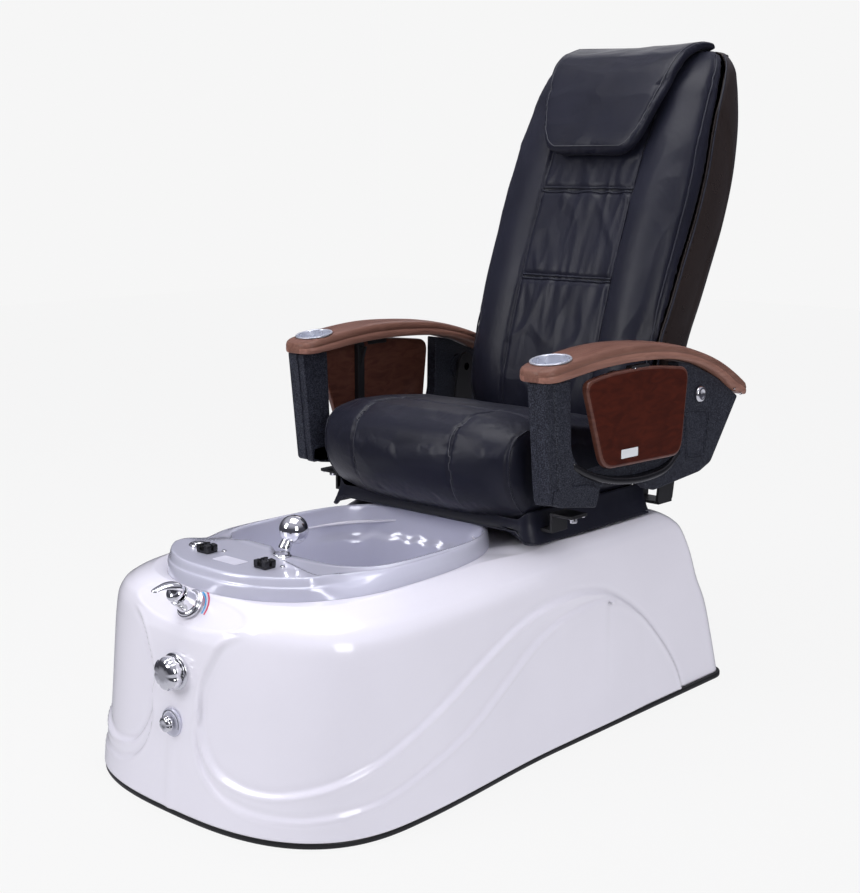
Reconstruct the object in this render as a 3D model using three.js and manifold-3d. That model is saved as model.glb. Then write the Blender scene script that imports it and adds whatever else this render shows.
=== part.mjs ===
// Pedicure spa chair: a reclining, arm-lifting massage seat on a moulded base with a foot basin.
// Millimetres, +Z up. The customer faces -Y, and +X is the customer's left side.
// The chair is laid out from a datum near the front of the basin, then the whole group is moved so that
// the origin is on the floor under the middle of the chair.
import * as THREE from "three";
import { mergeVertices } from "three/addons/utils/BufferGeometryUtils.js";
import Module from "manifold-3d";

const wasm = await Module();
wasm.setup();

// ---- driving dimensions ----
const frontEnd = -250; // the tip of the mixer lever
const rearEnd = 1334; // the rearmost point of the back shell
const gap = 0.3; // between pieces that touch

const base = {
  front: -229,
  rear: 1095,
  halfWidth: 357, // widest, just behind the front curve
  rearHalfWidth: 336,
  bulgeY: 44, // where the front curve meets the sides
  wall: 5,
  trimHeight: 12,
  deckLow: 397, // top of the base in front
  deckHigh: 412, // top of the base under the seat
};
const basin = {
  halfWidth: 249,
  middle: 120,
  front: -148,
  rear: 525,
  frontPower: 2.3,
  rearPower: 2.5,
  rimTop: 430,
  plateau: 438,
  floor: 150,
  wall: 4,
};
const tub = { halfWidth: 212, middle: 262, front: 46, rear: 490, frontPower: 4.6, rearPower: 2.7 };
const seatBottom = 446;
const arm = { middle: 325, inner: 278, outer: 372, pivotY: 914, pivotZ: 670, frameIn: 306, frameOut: 357 };
const back = { pivotY: 884, pivotZ: 522 };
const tray = { inner: 358.5, outer: 376 };
const facet = { lowY: -194, lowZ: 345, highY: -150, highZ: 397 }; // the slope that carries the mixer
const mixer = { y: -168.6, z: 375 };
const drainKnob = { y: -214, z: 262 };
const jetKnob = { y: -225, z: 170 };
const drain = { y: 290 };
const shower = { x: 24, y: 29 };
const airButton = { x: -130, y: -46 };

// ---- finishes ----
function finish(color, roughness, metalness = 0) {
  return new THREE.MeshStandardMaterial({ color, roughness, metalness });
}
const finishes = {
  pearlWhite: finish(0xebe9f5, 0.18),
  pearlSilver: finish(0xc3c3d6, 0.2, 0.25),
  chrome: finish(0xd8d8dc, 0.06, 1),
  leather: finish(0x1e1f2a, 0.42),
  shellBlack: finish(0x1c1513, 0.12),
  texturedBlack: finish(0x2a2d36, 0.75),
  armBrown: finish(0x704c44, 0.5),
  cupSilver: finish(0xc9ccd6, 0.3, 0.8),
  mahogany: finish(0x37100a, 0.15),
  rubber: finish(0x0c0c0e, 0.8),
  steelBlack: finish(0x141416, 0.5, 0.6),
  plywood: finish(0x9a7650, 0.8),
  plastic: finish(0x111114, 0.3),
  pvc: finish(0xe6e6e2, 0.5),
};

// ---- geometry helpers ----
const point = (x, y, z) => new THREE.Vector3(x, y, z);
const clamp = (value) => Math.min(1, Math.max(0, value));
const mix = (a, b, t) => a + (b - a) * t;
function ease(from, to, value) {
  const t = clamp((value - from) / (to - from));
  return t * t * (3 - 2 * t);
}

// A geometry with shared vertices, no flat triangles, and its faces pointing out.
function closed(geometry) {
  const bare = geometry.clone();
  bare.deleteAttribute("normal");
  bare.deleteAttribute("uv");
  bare.clearGroups();
  const merged = mergeVertices(bare, 1e-3);
  const old = merged.index.array;
  const position = merged.attributes.position;
  const faces = [];
  let volume = 0;
  const [a, b, c] = [point(), point(), point()];
  for (let i = 0; i < old.length; i += 3) {
    const [p, q, r] = [old[i], old[i + 1], old[i + 2]];
    if (p === q || q === r || r === p) continue;
    faces.push(p, q, r);
    a.fromBufferAttribute(position, p);
    b.fromBufferAttribute(position, q);
    c.fromBufferAttribute(position, r);
    volume += a.dot(b.cross(c));
  }
  merged.setIndex(volume < 0 ? faces.reverse() : faces);
  return merged;
}

function toSolid(shape) {
  if (!shape.isBufferGeometry) return shape;
  const { attributes, index } = closed(shape);
  const vertProperties = new Float32Array(attributes.position.array);
  return new wasm.Manifold(
    new wasm.Mesh({ numProp: 3, vertProperties, triVerts: new Uint32Array(index.array) }),
  );
}

function toGeometry(shape) {
  if (shape.isBufferGeometry) return closed(shape);
  const { numProp, vertProperties, triVerts } = shape.getMesh();
  const geometry = new THREE.BufferGeometry();
  const vertices = new Float32Array((vertProperties.length / numProp) * 3);
  for (let i = 0; i < vertices.length / 3; i++)
    vertices.set(vertProperties.subarray(i * numProp, i * numProp + 3), i * 3);
  geometry.setAttribute("position", new THREE.BufferAttribute(vertices, 3));
  geometry.setIndex(new THREE.BufferAttribute(new Uint32Array(triVerts), 1));
  return geometry;
}

const join = (...shapes) => shapes.map(toSolid).reduce((a, b) => a.add(b));
const cut = (...shapes) => shapes.map(toSolid).reduce((a, b) => a.subtract(b));
const overlap = (...shapes) => shapes.map(toSolid).reduce((a, b) => a.intersect(b));

// The triangles that close a ring of points, in the ring's own order.
function capOf(ring) {
  const normal = point(0, 0, 0);
  ring.forEach((p, i) => {
    const q = ring[(i + 1) % ring.length];
    normal.x += (p.y - q.y) * (p.z + q.z);
    normal.y += (p.z - q.z) * (p.x + q.x);
    normal.z += (p.x - q.x) * (p.y + q.y);
  });
  const size = normal.toArray().map(Math.abs);
  const axis = size.indexOf(Math.max(...size));
  const flat = ring.map((p) => {
    const v = p.toArray();
    return new THREE.Vector2(v[(axis + 1) % 3], v[(axis + 2) % 3]);
  });
  const faces = THREE.ShapeUtils.triangulateShape(flat, []);
  const turn = ([i, j, k]) => THREE.ShapeUtils.area([flat[i], flat[j], flat[k]]);
  const sameWay = faces.reduce((sum, face) => sum + turn(face), 0) * THREE.ShapeUtils.area(flat) > 0;
  return sameWay ? faces : faces.map(([i, j, k]) => [i, k, j]);
}

// The triangles of a ladder cap, which joins each point to its mirror image across X = 0.
function ladderOf(count) {
  const faces = [];
  for (let i = 0; i < count / 2; i++) {
    faces.push([i, i + 1, count - i - 1]);
    if (i > 0) faces.push([i, count - i - 1, count - i]);
  }
  return faces.filter(([i, j, k]) => new Set([i, j, k]).size === 3);
}

// A closed skin through rings of equally many points, capped at both ends.
function loft(rings, ladder = false) {
  const count = rings[0].length;
  const faces = [];
  for (let k = 0; k < rings.length - 1; k++)
    for (let i = 0; i < count; i++) {
      const a = k * count + i;
      const b = k * count + ((i + 1) % count);
      faces.push(a, b, b + count, a, b + count, a + count);
    }
  const capFaces = (ring) => (ladder ? ladderOf(count) : capOf(ring));
  for (const [i, j, k] of capFaces(rings[0])) faces.push(k, j, i);
  const last = (rings.length - 1) * count;
  for (const [i, j, k] of capFaces(rings.at(-1))) faces.push(last + i, last + j, last + k);
  const geometry = new THREE.BufferGeometry().setFromPoints(rings.flat());
  geometry.setIndex(faces);
  return closed(geometry);
}

const prismX = (outline, x0, x1) => loft([x0, x1].map((x) => outline.map(([y, z]) => point(x, y, z))));
const prismY = (outline, y0, y1) => loft([y0, y1].map((y) => outline.map(([x, z]) => point(x, y, z))));
const prismZ = (outline, z0, z1) => loft([z0, z1].map((z) => outline.map(([x, y]) => point(x, y, z))));

// A polygon with each corner rounded off by a short curve.
function rounded(corners, radius, steps = 3) {
  return corners.flatMap(([u, v, own = radius], i) => {
    const here = new THREE.Vector2(u, v);
    const ends = [corners.at(i - 1), corners[(i + 1) % corners.length]].map(([s, t]) => {
      const way = new THREE.Vector2(s, t).sub(here);
      return way.clone().setLength(Math.min(own, way.length() * 0.48)).add(here);
    });
    const curve = new THREE.QuadraticBezierCurve(ends[0], here, ends[1]);
    return own > 0 ? curve.getPoints(steps).map((p) => p.toArray()) : [[u, v]];
  });
}

function rectangle(u0, u1, v0, v1, radius = 0, steps = 3) {
  const corners = [[u0, v0], [u1, v0], [u1, v1], [u0, v1]];
  return radius > 0 ? rounded(corners, radius, steps) : corners;
}

function block(x0, x1, y0, y1, z0, z1) {
  const box = new THREE.BoxGeometry(x1 - x0, y1 - y0, z1 - z0);
  return box.translate((x0 + x1) / 2, (y0 + y1) / 2, (z0 + z1) / 2);
}

// Points a shape's +Y axis along a direction, with its own origin at a place.
function aim(geometry, place, direction) {
  const turn = new THREE.Quaternion().setFromUnitVectors(point(0, 1, 0), direction.clone().normalize());
  return geometry.applyQuaternion(turn).translate(place.x, place.y, place.z);
}

// A turned shape from [radius, height] pairs; the profile starts and ends on the axis or closes on itself.
function turned(profile, place, direction, sides = 16) {
  const points = profile.map(([r, h]) => new THREE.Vector2(r, h));
  return aim(closed(new THREE.LatheGeometry(points, sides)), place, direction);
}

function rod(from, to, radius, sides = 12) {
  const along = to.clone().sub(from);
  const shape = new THREE.CylinderGeometry(radius, radius, along.length(), sides);
  return aim(shape, from.clone().addScaledVector(along, 0.5), along);
}

function pipe(points, radius, steps, sides = 8) {
  const path = new THREE.CatmullRomCurve3(points);
  const round = new THREE.EllipseCurve(0, 0, radius, radius).getPoints(sides).slice(0, -1);
  return new THREE.ExtrudeGeometry(new THREE.Shape(round), { steps, extrudePath: path });
}

const root = new THREE.Group();
function add(name, shape, material) {
  const mesh = new THREE.Mesh(toGeometry(shape), material);
  mesh.geometry.computeVertexNormals();
  mesh.name = name;
  root.add(mesh);
}

const sides = [
  { name: "left", sign: 1 },
  { name: "right", sign: -1 },
];
// A shape made for the +X side, mirrored when it is wanted on the other side.
function onSide(sign, shape) {
  return sign > 0 ? shape : toGeometry(shape).scale(-1, 1, 1);
}
function addPair(name, shape, material) {
  for (const side of sides) add(`${name}_${side.name}`, onSide(side.sign, shape), material);
}

// ---- base ----
const up = point(0, 0, 1);
const riseFrom = 440; // the deck climbs in a straight ramp between these two places
const riseTo = 540;
const topOfBase = (y) => mix(base.deckLow, base.deckHigh, clamp((y - riseFrom) / (riseTo - riseFrom)));

// Half of the base's plan from the front tip to the rear middle, as [x, y] pairs.
function halfPlan() {
  const front = [];
  const frontSteps = 8;
  const power = 2 / 2.75;
  for (let i = 0; i <= frontSteps; i++) {
    const angle = (i / frontSteps) * (Math.PI / 2);
    const x = base.halfWidth * Math.sin(angle) ** power;
    front.push([x, base.bulgeY - (base.bulgeY - base.front) * Math.cos(angle) ** power]);
  }
  const flank = [140, 290, riseFrom, riseTo, 700, 860].map((y) => [
    mix(base.halfWidth, base.rearHalfWidth, ease(44, 460, y)),
    y,
  ]);
  const corner = 46;
  const rearCorner = [0, 45, 90].map((degrees) => {
    const angle = (degrees * Math.PI) / 180;
    const x = base.rearHalfWidth - corner + corner * Math.cos(angle);
    return [x, base.rear - corner + corner * Math.sin(angle)];
  });
  return [...front, ...flank, ...rearCorner, [0, base.rear]];
}

function mirroredRing(half) {
  const left = half.slice(1, -1).reverse();
  return [...half, ...left.map(([x, y, z]) => [-x, y, z])];
}

// How far the wall has drawn in at each share of the height.
const baseLevels = [
  { share: 0.031, front: 0, flank: 0, haunch: 0, rear: 0 },
  { share: 0.25, front: 8, flank: 5, haunch: 1, rear: 30 },
  { share: 0.45, front: 16, flank: 8, haunch: 1, rear: 62 },
  { share: 0.62, front: 23, flank: 11, haunch: 2, rear: 106 },
  { share: 0.78, front: 30, flank: 15, haunch: 4, rear: 135 },
  { share: 0.87, front: 35, flank: 24, haunch: 10, rear: 160 },
  { share: 0.94, front: 58.7, flank: 50, haunch: 20, rear: 182 },
  { share: 1, front: 79, flank: 98, haunch: 42, rear: 215 },
];

// One ring of the base's skin; inset makes the inner skin.
function baseRing(level, inset = 0, drop = 0) {
  const plan = halfPlan().map(([x, y]) => {
    const atFront = clamp((120 - y) / (120 - base.front));
    const atRear = clamp((y - 620) / (base.rear - 620));
    const drawnIn = mix(level.flank, level.haunch, ease(300, 620, y)) + inset;
    const newY = y + (level.front + inset) * atFront - (level.rear + inset) * atRear;
    return [(x * (base.halfWidth - drawnIn)) / base.halfWidth, newY, topOfBase(newY) * level.share - drop];
  });
  return mirroredRing(plan).map(([x, y, z]) => point(x, y, z));
}

// A ring of two half ovals that meet at the widest place, at the heights that heightAt gives.
function ovalRing(plan, inset, heightAt) {
  const half = [];
  const steps = 8;
  for (let i = 0; i <= 2 * steps; i++) {
    const angle = (i / steps) * (Math.PI / 2);
    const front = i <= steps;
    const power = 2 / (front ? plan.frontPower : plan.rearPower);
    const reach = front ? plan.middle - plan.front : plan.rear - plan.middle;
    const along = Math.sign(Math.cos(angle)) * Math.abs(Math.cos(angle)) ** power;
    const x = i === 2 * steps ? 0 : (plan.halfWidth - inset) * Math.sin(angle) ** power;
    const y = plan.middle - (reach - inset) * along;
    half.push([x, y, heightAt(y)]);
  }
  return mirroredRing(half).map(([x, y, z]) => point(x, y, z));
}
const tubRing = (inset, z) => ovalRing(tub, inset, () => z);

function baseShell() {
  const outside = loft(
    baseLevels.map((level) => baseRing(level)),
    true,
  );
  const innerRings = baseLevels.filter((_, i) => i !== 1).map((level) => baseRing(level, base.wall, base.wall));
  const inside = loft([baseRing({ ...baseLevels[0], share: -0.02 }, base.wall), ...innerRings], true);
  const well = loft([tubRing(-12, 300), tubRing(-12, 440)]);
  const mixerHole = rod(point(0, mixer.y - 40, mixer.z + 40), point(0, mixer.y + 40, mixer.z - 40), 17);
  const drainKnobHole = rod(point(0, -260, drainKnob.z), point(0, -150, drainKnob.z), 9);
  const jetKnobHole = rod(point(0, -260, jetKnob.z), point(0, -150, jetKnob.z), 7);
  return cut(outside, inside, well, mixerHole, drainKnobHole, jetKnobHole);
}

function floorTrim() {
  const ring = (inset, z) => baseRing(baseLevels[0], inset).map((p) => point(p.x, p.y, z));
  const outer = loft([ring(-4, 0), ring(-4, base.trimHeight - 3), ring(-1, base.trimHeight)]);
  return cut(outer, loft([ring(9, -5), ring(9, base.trimHeight + 5)]));
}

add("base_shell", baseShell(), finishes.pearlWhite);
add("floor_trim", floorTrim(), finishes.rubber);

// ---- basin ----
const rimRing = (inset, z) => ovalRing(basin, inset, (y) => z ?? topOfBase(y) + gap);

// The raised deck in front of the tub, with its rounded front edge.
function deckPlateau() {
  const outline = (inset) => {
    const arc = new THREE.EllipseCurve(0, -38, 176 - inset, 99 - inset, Math.PI, 2 * Math.PI);
    const front = arc.getPoints(12).map((p) => p.toArray());
    return [...front, [168 - inset, 8 - inset], [-168 + inset, 8 - inset]];
  };
  const ring = (inset, z) => outline(inset).map(([x, y]) => point(x, y, z));
  return loft([ring(0, 424), ring(0, 432), ring(5, basin.plateau)]);
}

function basinTub() {
  const rim = loft([rimRing(0), rimRing(3, 416), rimRing(22, 427), rimRing(38, basin.rimTop)], true);
  const underside = loft([rimRing(8, 380), rimRing(11, 410), rimRing(40, 422)], true);
  const outside = loft([
    tubRing(56 - basin.wall, basin.floor - basin.wall),
    tubRing(40 - basin.wall, basin.floor + 12),
    tubRing(-basin.wall, basin.rimTop - 3),
  ]);
  const inside = loft([
    tubRing(56, basin.floor),
    tubRing(40, basin.floor + 14),
    tubRing(4, basin.rimTop - 8),
    tubRing(0, basin.rimTop - 2),
    tubRing(-4, basin.rimTop + 10),
  ]);
  const bench = loft([tubRing(-basin.wall, 300), tubRing(-basin.wall, 365)]);
  const benchZone = block(-200, 200, 462, 520, 290, 366);
  const shell = cut(join(cut(join(rim, deckPlateau()), underside), outside), inside);
  const drainHole = rod(point(0, drain.y, 130), point(0, drain.y, 170), 24, 24);
  const socketHole = rod(point(shower.x, shower.y, 400), point(shower.x, shower.y, 450), 12);
  const buttonHole = rod(point(airButton.x, airButton.y, 400), point(airButton.x, airButton.y, 450), 15);
  const jetHole = rod(point(0, 40, 250), point(0, 120, 250), 34, 24);
  return cut(join(shell, overlap(bench, benchZone)), drainHole, socketHole, buttonHole, jetHole);
}

add("basin", basinTub(), finishes.pearlSilver);

// ---- water works under the deck ----
const drainFlange = turned(
  [
    [16, -34],
    [19, -34],
    [19, -8],
    [23.5, -8],
    [23.5, 0.4],
    [36, 0.4],
    [36, 3],
    [17, 3],
    [17, -5],
    [16, -5],
    [16, -34],
  ],
  point(0, drain.y, basin.floor),
  up,
);
const stopper = [[0, 5], [0, 3.4], [15, 3.4], [21, 6], [21, 9], [12, 12], [0, 13]];
const drainPipePath = [
  point(0, drain.y, 115),
  point(0, drain.y, 84),
  point(0, drain.y + 26, 52),
  point(0, drain.y + 140, 38),
  point(0, 800, 38),
  point(0, 985, 38),
];
// The pipeless jet: a magnet-driven motor outside the tub's front wall, its cover inside.
const jetY = tub.front + 28;
const forward = point(0, -1, 0);
const jetMotor = turned(
  [[0, 6], [30, 6], [30, 24], [46, 26], [50, 34], [50, 82], [44, 92], [0, 92]],
  point(0, jetY, 250),
  forward,
);
const jetCover = turned(
  [[0, -5], [33, -5], [33, -9], [47, -9], [52, -14], [50, -22], [34, -28], [0, -30]],
  point(0, jetY, 250),
  forward,
);
add("drain_flange", drainFlange, finishes.chrome);
add("drain_stopper", turned(stopper, point(0, drain.y, basin.floor), up), finishes.chrome);
add("drain_pipe", pipe(drainPipePath, 18, 14), finishes.pvc);
add("jet_motor", jetMotor, finishes.plastic);
add("jet_cover", jetCover, finishes.pearlSilver);

// ---- mixer, on the sloping facet ----
const facetNormal = point(0, facet.lowZ - facet.highZ, facet.highY - facet.lowY).normalize();
const onFacet = (height) => point(0, mixer.y, mixer.z).addScaledVector(facetNormal, height);
const mixerValve = join(
  rod(onFacet(-12), onFacet(-58), 20),
  rod(onFacet(-40).add(point(-44, 0, 0)), onFacet(-40).add(point(44, 0, 0)), 9),
);
const mixerFlange = [[0, 2], [27, 2], [28, 5], [26, 9], [21, 12], [0, 12]];
const mixerBody = [[0, 12.4], [21, 12.4], [20, 18], [17, 24], [14, 28], [0, 28]];
function mixerLever() {
  const hubPlace = onFacet(46);
  const tip = point(0, frontEnd, 424);
  const hub = turned([[0, -17], [8, -15], [14, -10], [17.4, -2], [17.4, 4], [12, 9], [0, 10]], hubPlace, facetNormal);
  const station = (t, halfWide, halfThick, lift) => {
    const middle = hubPlace.clone().lerp(tip, t).add(point(0, 0, lift));
    return rectangle(-halfWide, halfWide, -halfThick, halfThick, halfThick, 3).map(([x, z]) =>
      point(x, middle.y, middle.z + z),
    );
  };
  const blade = loft([
    station(-0.08, 9, 4, 2),
    station(0.2, 11, 4.5, 5),
    station(0.55, 9, 3.5, 5),
    station(0.85, 6, 2.6, 2),
    station(1, 2.6, 1.4, 0),
  ]);
  return join(hub, blade);
}
add("mixer_valve", mixerValve, finishes.steelBlack);
add("mixer_flange", turned(mixerFlange, onFacet(0), facetNormal, 20), finishes.chrome);
add("mixer_body", turned(mixerBody, onFacet(0), facetNormal), finishes.chrome);
add("mixer_lever", mixerLever(), finishes.chrome);

// ---- front controls ----
// A knob with finger hollows round its rim, on a stem that goes through the shell.
function knob(place, radius, depth, lobes, stem) {
  const steps = lobes * 4;
  const ring = (r, away) => {
    const points = [];
    for (let i = 0; i < steps; i++) {
      const angle = (i / steps) * 2 * Math.PI;
      const scallop = 1 - 0.07 * Math.max(0, Math.cos(angle * lobes)) ** 2;
      points.push(point(r * scallop * Math.cos(angle), place.y - away, place.z + r * scallop * Math.sin(angle)));
    }
    return points;
  };
  const grip = loft([
    ring(radius * 0.9, 2),
    ring(radius, 6),
    ring(radius * 0.97, depth * 0.72),
    ring(radius * 0.78, depth * 0.94),
    ring(radius * 0.3, depth),
  ]);
  return join(grip, rod(point(0, place.y - 4, place.z), point(0, place.y + 40, place.z), stem));
}
const dialPlate = (place, radius) =>
  turned([[8, 0], [radius, 0], [radius - 1, 3], [8, 3], [8, 0]], place, forward, 20);
add("drain_knob", knob(point(0, drainKnob.y, drainKnob.z), 31, 26, 6, 7), finishes.chrome);
add("jet_dial_plate", dialPlate(point(0, jetKnob.y + 3.5, jetKnob.z), 27), finishes.pearlSilver);
add("jet_knob", knob(point(0, jetKnob.y, jetKnob.z), 15, 16, 6, 5), finishes.chrome);
add(
  "drain_cable_guide",
  join(block(-16, 16, -170, -150, 246, 278), rod(point(0, -152, drainKnob.z), point(0, -120, 240), 6)),
  finishes.plastic,
);

// ---- hand shower, air button and footrest clips on the deck ----
const showerBase = point(shower.x, shower.y, basin.rimTop);
const stemWay = point(-0.1, 0.36, 1).normalize();
const socket = turned(
  [[13, 0.4], [19, 0.4], [19, 3], [16, 6], [13, 6], [13, 0.4]],
  showerBase,
  up,
);
function handShower() {
  const neck = turned(
    [[0, 12], [12, 12], [12.5, 17], [10.5, 24], [10, 34], [0, 36]],
    showerBase,
    stemWay,
  );
  const ballCentre = showerBase.clone().addScaledVector(stemWay, 48);
  const ball = new THREE.SphereGeometry(28, 16, 12).translate(ballCentre.x, ballCentre.y + 6, ballCentre.z);
  const face = rod(ballCentre.clone().add(point(0, 4, -4)), ballCentre.clone().add(point(4, 30, -24)), 19);
  return join(neck, ball, face);
}
const buttonPlace = point(airButton.x, airButton.y, basin.plateau);
add("shower_socket", socket, finishes.chrome);
add("hand_shower", handShower(), finishes.chrome);
add(
  "air_button_bezel",
  turned([[12, 0.4], [19, 0.4], [19, 3], [16, 5], [12, 5], [12, 0.4]], buttonPlace, up),
  finishes.chrome,
);
add("air_button", turned([[0, -10], [11, -10], [11, 6], [9, 8], [0, 8.6]], buttonPlace, up), finishes.chrome);

// A clip that grips a footrest's bar: a block with a cross-wise groove.
function footrestClip() {
  const outline = rounded(
    [[-16, 0.4], [16, 0.4], [16, 15, 3], [5, 17, 3], [4, 9], [-4, 9], [-5, 17, 3], [-16, 15, 3]],
    1,
    2,
  );
  const body = prismY(outline, -13, 13).translate(81, -66, basin.plateau);
  return cut(body, block(60, 102, -69.5, -62.5, basin.plateau + 6, basin.plateau + 30));
}
addPair("footrest_clip", footrestClip(), finishes.plastic);

// ---- steel frame, feet, rails and drives inside the base ----
function baseFrame() {
  const beams = [];
  const tube = 15;
  for (const x of [-205, 205]) {
    beams.push(block(x - tube, x + tube, 540, 940, 60, 90));
    for (const y of [580, 812]) beams.push(block(x - tube, x + tube, y - tube, y + tube, 70, 406));
    beams.push(block(x - tube, x + tube, 560, 832, 376, 406.4));
  }
  for (const y of [556, 924]) beams.push(block(-205, 205, y - tube, y + tube, 60, 90));
  return join(...beams);
}
const foot = (x, y) =>
  turned([[0, 1], [22, 1], [24, 5], [20, 12], [7, 14], [7, 59.6], [0, 59.6]], point(x, y, 0), up, 16);
add("base_frame", baseFrame(), finishes.steelBlack);
for (const side of sides) {
  add(`front_foot_${side.name}`, foot(side.sign * 205, 570), finishes.rubber);
  add(`rear_foot_${side.name}`, foot(side.sign * 205, 910), finishes.rubber);
}
const railTop = 430.6;
const rail = prismY(
  [[170, 412.4], [205, 412.4], [205, 416], [196, 416], [196, railTop], [179, railTop], [179, 416], [170, 416]],
  570,
  836,
);
addPair("seat_rail", rail, finishes.steelBlack);
add(
  "slide_motor",
  join(block(60, 120, 590, 690, 412.4, 426), rod(point(90, 688, 419.5), point(90, 796, 419.5), 6)),
  finishes.plastic,
);
add("control_box", block(-110, 110, 620, 740, 120, 200), finishes.plastic);

// ---- seat ----
const carriageBottom = railTop + 0.4;
const carriage = cut(
  block(-240, 240, 470, 905, carriageBottom, 437),
  block(-150, 150, 520, 800, carriageBottom - 5, 445),
);
const hingeEar = prismX(
  rounded([[850, 436], [905, 436], [910, 520, 26], [884, 546, 26], [858, 520, 26]], 2, 4),
  234,
  240,
);
const pivotPin = rod(point(228, back.pivotY, back.pivotZ), point(238, back.pivotY, back.pivotZ), 10);
add(
  "seat_carriage",
  join(
    carriage,
    hingeEar,
    pivotPin,
    onSide(-1, hingeEar),
    onSide(-1, pivotPin),
    block(72, 108, 800, 812, 426.6, 437),
  ),
  finishes.steelBlack,
);
add("seat_pan", prismZ(rectangle(-240, 240, 500, 826, 30), 437.4, 445.6), finishes.plywood);

// The seat cushion: a side profile with a rolled front, crowned a little across.
function seatCushion() {
  const profile = rounded(
    [
      [480, 446, 30],
      [410, 461, 40],
      [370, 508, 60],
      [357, 566, 60],
      [364, 632, 44],
      [410, 656, 44],
      [620, 654, 60],
      [832, 606, 30],
      [842, 520, 20],
      [836, 446, 6],
    ],
    20,
    4,
  );
  const middle = [600, 560];
  const slice = (x, keep, swept) =>
    profile.map(([y, z]) => {
      const lowered = Math.max(seatBottom, mix(middle[1], z, keep));
      const back = swept * ease(620, 480, y);
      return point(x, mix(middle[0], y, keep) + back, lowered);
    });
  // distance from the middle, share of the full section kept, and how far the front is swept back
  const halfStations = [[0, 1, 0], [134, 1, 5], [200, 0.995, 18], [240, 0.985, 30], [256, 0.97, 36], [262, 0.93, 38]];
  const left = halfStations.slice(1).reverse().map(([x, keep, swept]) => slice(-x, keep, swept));
  const right = halfStations.map(([x, keep, swept]) => slice(x, keep, swept));
  return loft([...left, ...right]);
}
add("seat_cushion", seatCushion(), finishes.leather);

// The skirt hides the rails. It hangs over the basin's rim in front and down to the base at the sides.
function seatSkirt() {
  const plan = (grow, z, frontZ) => {
    const corners = [
      [-266 - grow, 450 - grow / 3],
      [266 + grow, 450 - grow / 3],
      [266 + grow, 843, 4],
      [-266 - grow, 843, 4],
    ];
    return rounded(corners, 26, 4).map(([x, y]) => point(x, y, mix(frontZ, z, ease(440, 476, y))));
  };
  const outer = loft([plan(30, 416, 436), plan(22, 428, 438), plan(8, 450, 444), plan(3, 478, 446)]);
  const inner = loft([plan(26, 405, 425), plan(18, 428, 434), plan(4, 450, 440), plan(-1, 490, 470)]);
  const slots = sides.map(({ sign }) => onSide(sign, block(240, 320, 474, 536, 433, 446.5)));
  const behind = block(-262, 262, 780, 900, 400, 500);
  return cut(outer, inner, ...slots, behind);
}
add("seat_skirt", seatSkirt(), finishes.leather);

// ---- arm supports on the seat carriage ----
// A cranked steel bracket that each arm's foot rests on, with its fixing bolt hanging below.
const supportCrank = [
  [240.4, 437.4],
  [304, 437.4],
  [304, 472],
  [352, 472],
  [352, 478],
  [298, 478],
  [298, 443.4],
  [240.4, 443.4],
];
const armSupport = join(
  prismY(supportCrank, 480, 530),
  rod(point(336, 505, 464), point(336, 505, 474), 9, 6),
);
addPair("arm_support", armSupport, finishes.steelBlack);
const bolt = point(0, arm.pivotY, arm.pivotZ);
const pivotPlate = cut(
  join(
    prismX(
      rounded([[848, 438], [904, 438], [940, 640, 30], [936, 704, 30], [892, 704, 30], [880, 640, 30]], 3, 3),
      297,
      303,
    ),
    block(240.4, 303, 852, 902, 432, 438),
  ),
  rod(point(280, bolt.y, bolt.z), point(320, bolt.y, bolt.z), 9.4),
);
addPair("arm_pivot_plate", pivotPlate, finishes.steelBlack);
const pivotBolt = turned(
  [[0, 0], [9, 0], [9, 60.6], [17, 60.6], [17.5, 64], [15, 68], [9, 65.5], [0, 65]],
  point(297, bolt.y, bolt.z),
  point(1, 0, 0),
);
addPair("arm_pivot_bolt", pivotBolt, finishes.chrome);

// ---- arms ----
// Height of the arm's underside and top along its length.
const armUnder = [[440, 750], [530, 759], [620, 763], [700, 762], [790, 756], [885, 738], [985, 700], [1052, 662]];
const armTop = [[1114, 664], [1000, 727], [885, 767], [790, 788], [690, 797], [600, 799], [500, 791], [384, 772]];

// The moulded side frame: a front column on a foot, a low beam, and a rear panel.
function armFrame() {
  const outline = rounded(
    [
      [389, 747.2, 3],
      [413, 511, 6],
      [441, 503, 4],
      [554, 484, 4],
      [572, 526, 10],
      [640, 531, 20],
      [703, 517, 20],
      [752, 486, 10],
      [930, 500, 4],
      [973, 515, 6],
      [1074, 648, 4],
      [985, 699.2, 0],
      [885, 737.2, 0],
      [835, 746.4, 4],
      [832, 600, 30],
      [780, 553, 30],
      [640, 560, 30],
      [520, 556, 26],
      [474, 600, 20],
      [466, 752, 3],
      [440, 749.4, 2],
    ],
    3,
    2,
  );
  const whole = prismX(outline, arm.frameIn, arm.frameOut);
  const thinner = block(300, 326, 560, 1100, 470, 740);
  const boltHole = rod(point(290, bolt.y, bolt.z), point(400, bolt.y, bolt.z), 9.6);
  return cut(whole, cut(thinner, block(300, 326, 878, 950, 634, 706)), boltHole);
}

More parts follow.
